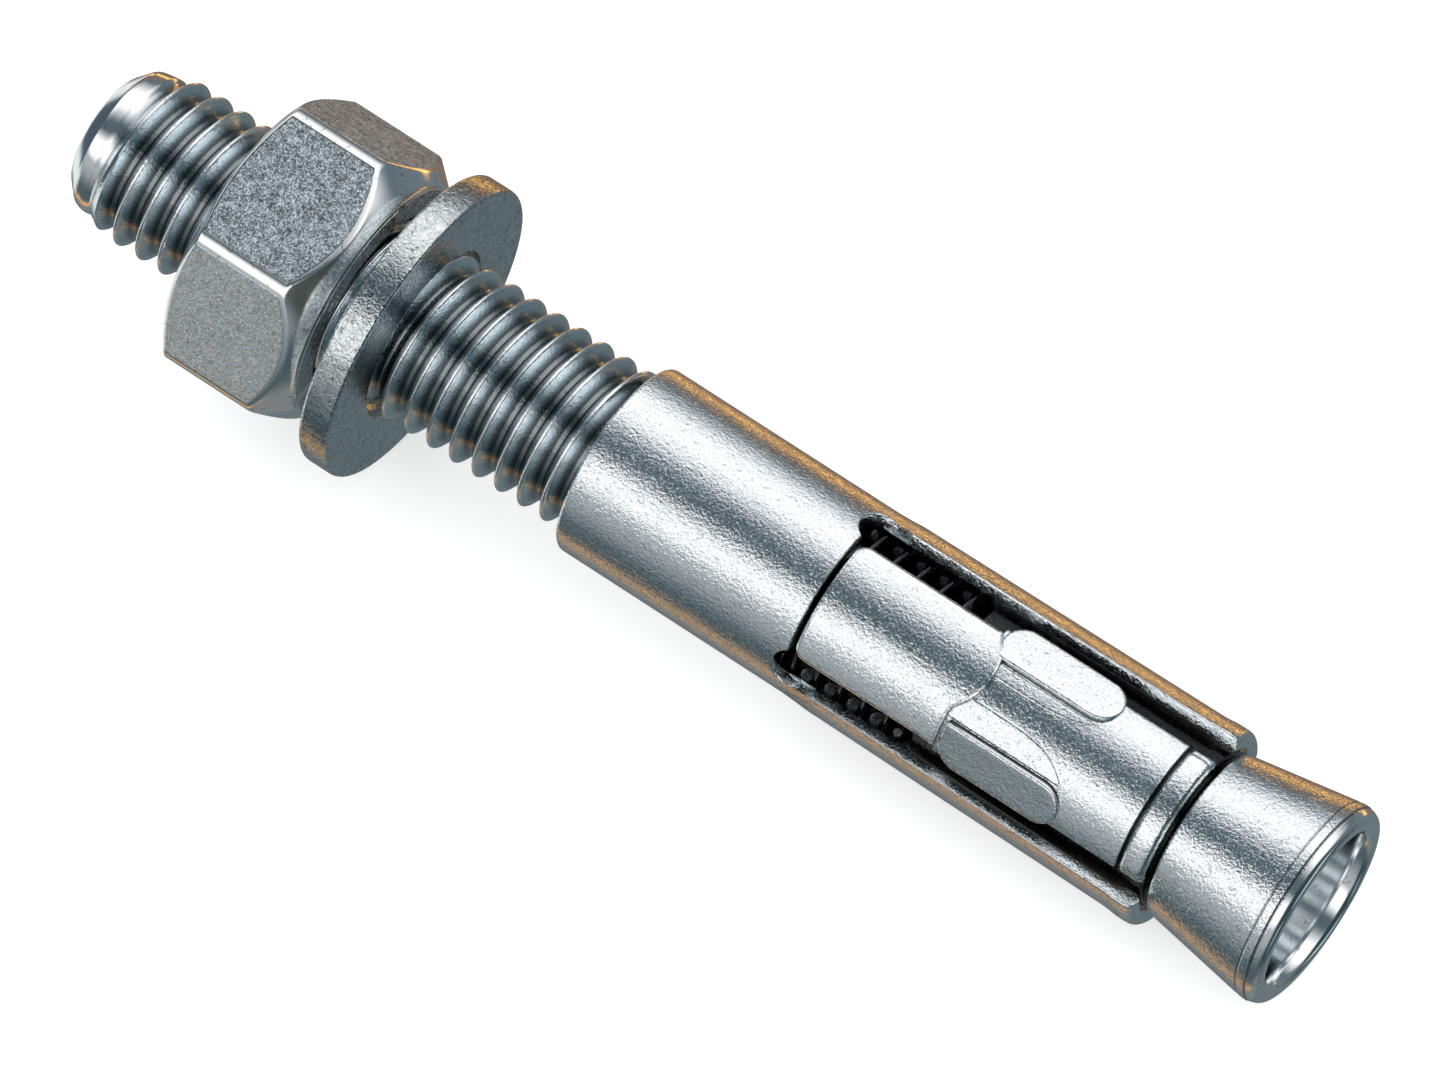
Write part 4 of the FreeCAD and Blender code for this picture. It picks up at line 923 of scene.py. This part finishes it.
def surround_material():
    """What the metal mirrors, by the angle round the anchor from straight up, back positive: a dark
    cool room above with two bright soft bands along the anchor, and below them the worktop's dark
    greys and browns with one thin warm line on either side. Towards the cone's end it turns dark
    teal with two dim glows, and towards the tip it is bright low down and dark blue at the end.
    Ramps of turn and low are in degrees, and ramps of along are in metres from the middle.
    """
    room_front = (0.062, 0.09, 0.1, 1)
    room_back = (0.085, 0.12, 0.142, 1)
    worktop_brown = (0.17, 0.125, 0.1, 1)
    worktop_blue = (0.12, 0.15, 0.165, 1)
    worktop_grey = (0.17, 0.18, 0.18, 1)
    line_back = (2.0, 1.02, 0.25, 1)
    line_front = (0.8, 0.4, 0.12, 1)
    band_white = (1.02, 1.0, 1.01, 1)
    cone_room = (0.03, 0.035, 0.025, 1)
    cone_teal = (0.025, 0.052, 0.062, 1)
    cone_glow = (0.72, 0.93, 1.0, 1)
    tip_grey = (0.8, 0.84, 0.84, 1)
    tip_blue = (0.06, 0.085, 0.11, 1)
    shade = Shade("surround_dark")
    along, back, up = shade.parts(shade.node("ShaderNodeTexCoord", 3))
    turn = back.math("ARCTAN2", up) * (180.0 / math.pi)
    low = abs(turn).ramp(96.0, 126.0)
    colour = shade.blend(turn.ramp(-60.0, 40.0), room_front, room_back)
    bluish = along.ramp(-0.1, 0.1).high(turn.ramp(142.0, 152.0))
    low_back = shade.blend(bluish, worktop_brown, worktop_blue)
    colour = shade.blend(turn.ramp(76.0, 100.0), colour, low_back)
    colour = shade.blend(1 - turn.ramp(-160.0, -140.0), colour, worktop_grey)
    nearby = 1 - along.ramp(0.0, 0.25)
    warm_back = between(turn, 110.8, 112.4, 3.6, 3.8) * nearby
    warm_front = between(turn, -158.0, -156.0, 5.0, 9.0) * nearby
    colour = shade.blend(warm_back, colour, line_back)
    colour = shade.blend(warm_front * 0.8, colour, line_front)
    front_tail = turn.ramp(-128.0, -80.0) * (1 - turn.ramp(-46.0, -24.0)) * 0.3
    front_band = between(turn, -62.0, -48.0, 22.0, 24.0)
    back_band = between(turn, 26.0, 42.0, 38.0, 42.0)
    bright = front_tail.high(front_band).high(back_band) * (1 - along.ramp(0.7, 1.35) * 0.93)
    colour = shade.blend(bright, colour, band_white)
    colour = shade.blend(along.ramp(0.8, 1.4) * 0.8, colour, cone_room)
    far_end = along.ramp(0.35, 1.0) * low
    glow = between(turn, 98.0, 150.0, 24.0, 20.0) * 0.62
    glow = glow.high((1 - turn.ramp(-162.0, -140.0)) * 0.3) * along.ramp(0.9, 1.5)
    colour = shade.blend(far_end, colour, shade.blend(glow, cone_teal, cone_glow))
    tip_end = (1 - along.ramp(-0.8, -0.5)) * low
    colour = shade.blend(tip_end * 0.8, colour, tip_grey)
    colour = shade.blend(1 - along.ramp(-1.6, -1.1), colour, tip_blue)
    return shade.finish(shade.glow(colour, SURROUND_STRENGTH))


def end_material(name, colour):
    """A plain card that closes one end of the surround."""
    shade = Shade(name)
    return shade.finish(shade.glow(colour, 1.0))


def surround(radius, reach):
    """A tube along the anchor, as a grid of angle and station."""
    columns = 121
    turns = np.radians(np.linspace(-180, 180, columns))[:, None]
    ends = np.array([[-reach, reach]])
    across = radius * np.sin(turns) + 0 * ends
    upwards = radius * np.cos(turns) + 0 * ends
    return np.stack([ends + 0 * turns, across, upwards], -1), grid_faces(columns, 2)


def end_card(radius, station):
    """A square across the surround's end."""
    return [(station, -radius, -radius), (station, radius, -radius), (station, radius, radius),
            (station, -radius, radius)], [(0, 1, 2, 3)]


# The set's sizes in metres: half the floor, its height, and the surround's radius and half length.
FLOOR_HALF = 4.0
FLOOR_HEIGHT = -2e-5
FLOOR_LIFT = 0.45
SURROUND_RADIUS = 0.8
SURROUND_REACH = 2.0
SURROUND_STRENGTH = 1.25
CARD_REACH = 1.99
TEAL_CARD = (0.03, 0.06, 0.07, 1)
BLUE_CARD = (0.07, 0.1, 0.13, 1)

floor = stage_piece("floor", *flat_square(FLOOR_HALF, FLOOR_HEIGHT), floor_material())
floor.visible_glossy = False
stage_piece("surround", *surround(SURROUND_RADIUS, SURROUND_REACH), surround_material(), seen=False)
stage_piece("surround_end", *end_card(SURROUND_RADIUS, CARD_REACH), end_material("end_teal", TEAL_CARD),
            seen=False)
stage_piece("surround_tip", *end_card(SURROUND_RADIUS, -CARD_REACH), end_material("end_blue", BLUE_CARD),
            seen=False)

# World: a pale room, white where it is seen.
world = bpy.data.worlds.new("studio")
bpy.context.scene.world = world
world.use_nodes = True
world.node_tree.nodes.clear()
room = world.node_tree.nodes.new("ShaderNodeBackground")
room.inputs["Color"].default_value = (1.0, 1.0, 1.0, 1.0)
room.inputs["Strength"].default_value = 1.0
room_out = world.node_tree.nodes.new("ShaderNodeOutputWorld")
world.node_tree.links.new(room.outputs[0], room_out.inputs["Surface"])

# Two soft strip lights beside the anchor and parallel to it. They light the matt parts and the
# floor, and the bright bands of the surround are what the metal mirrors in their place.
STRIP_CENTRE = Vector(place(np.array(42.0), np.array(0.0), 0.0))
STRIP_DISTANCE = 0.6
STRIP_LENGTH = 1.6
STRIP_SHIFT = -0.16
STRIP_RADIANCE = 0.6


def strip(name, around, width):
    """A strip light at an angle round the anchor, in degrees from straight up, back positive."""
    turn = math.radians(around)
    outward = math.cos(turn) * Vector(UP) - math.sin(turn) * Vector(SIDE)
    along = Vector(ALONG)
    level = outward.cross(along)
    light = bpy.data.lights.new(name, "AREA")
    light.shape = "RECTANGLE"
    light.size = STRIP_LENGTH
    light.size_y = width
    light.energy = STRIP_RADIANCE * math.pi * STRIP_LENGTH * width
    item = bpy.data.objects.new(name, light)
    bpy.context.scene.collection.objects.link(item)
    item.visible_glossy = False
    spot = STRIP_CENTRE + outward * STRIP_DISTANCE + along * STRIP_SHIFT
    facing = Matrix((along, level, outward)).transposed().to_4x4()
    item.matrix_world = Matrix.Translation(spot) @ facing


strip("strip_front", -53, 0.19)
strip("strip_back", 33, 0.24)

# Camera: a long lens from above and in front of the cone end, as in the photograph. The aim is the
# station in the picture's middle, and CENTRE_OFFSET moves the picture by that many of its pixels.
AZIMUTH = math.radians(35.5)
ELEVATION = math.radians(58.1)
ROLL = math.radians(0.235)
FOCAL_PIXELS = 16000.0
FRAME_PIXELS = 1448.0
SENSOR_WIDTH = 36.0
DISTANCE = 0.8556
AIM_STATION = 40.1
CENTRE_OFFSET = (-16.4, -26.1)
camera_data = bpy.data.cameras.new("camera")
camera_data.sensor_fit = "HORIZONTAL"
camera_data.sensor_width = SENSOR_WIDTH
camera_data.lens = FOCAL_PIXELS * SENSOR_WIDTH / FRAME_PIXELS
camera_data.clip_start = 0.05
camera_data.clip_end = 20.0
camera = bpy.data.objects.new("camera", camera_data)
bpy.context.scene.collection.objects.link(camera)
backward = Vector((math.sin(AZIMUTH) * math.cos(ELEVATION), -math.cos(AZIMUTH) * math.cos(ELEVATION),
                   math.sin(ELEVATION)))
level = Vector((math.cos(AZIMUTH), math.sin(AZIMUTH), 0.0))
right = level * math.cos(ROLL) + backward.cross(level) * math.sin(ROLL)
above = backward.cross(right)
aim = Vector(place(np.array(AIM_STATION), np.array(0.0), 0.0))
shift_right = CENTRE_OFFSET[0] / FOCAL_PIXELS * DISTANCE
shift_up = -CENTRE_OFFSET[1] / FOCAL_PIXELS * DISTANCE
spot = aim - right * shift_right - above * shift_up + backward * DISTANCE
camera.matrix_world = Matrix.Translation(spot) @ Matrix((right, above, backward)).transposed().to_4x4()
bpy.context.scene.camera = camera
bpy.context.scene.view_settings.view_transform = "Standard"
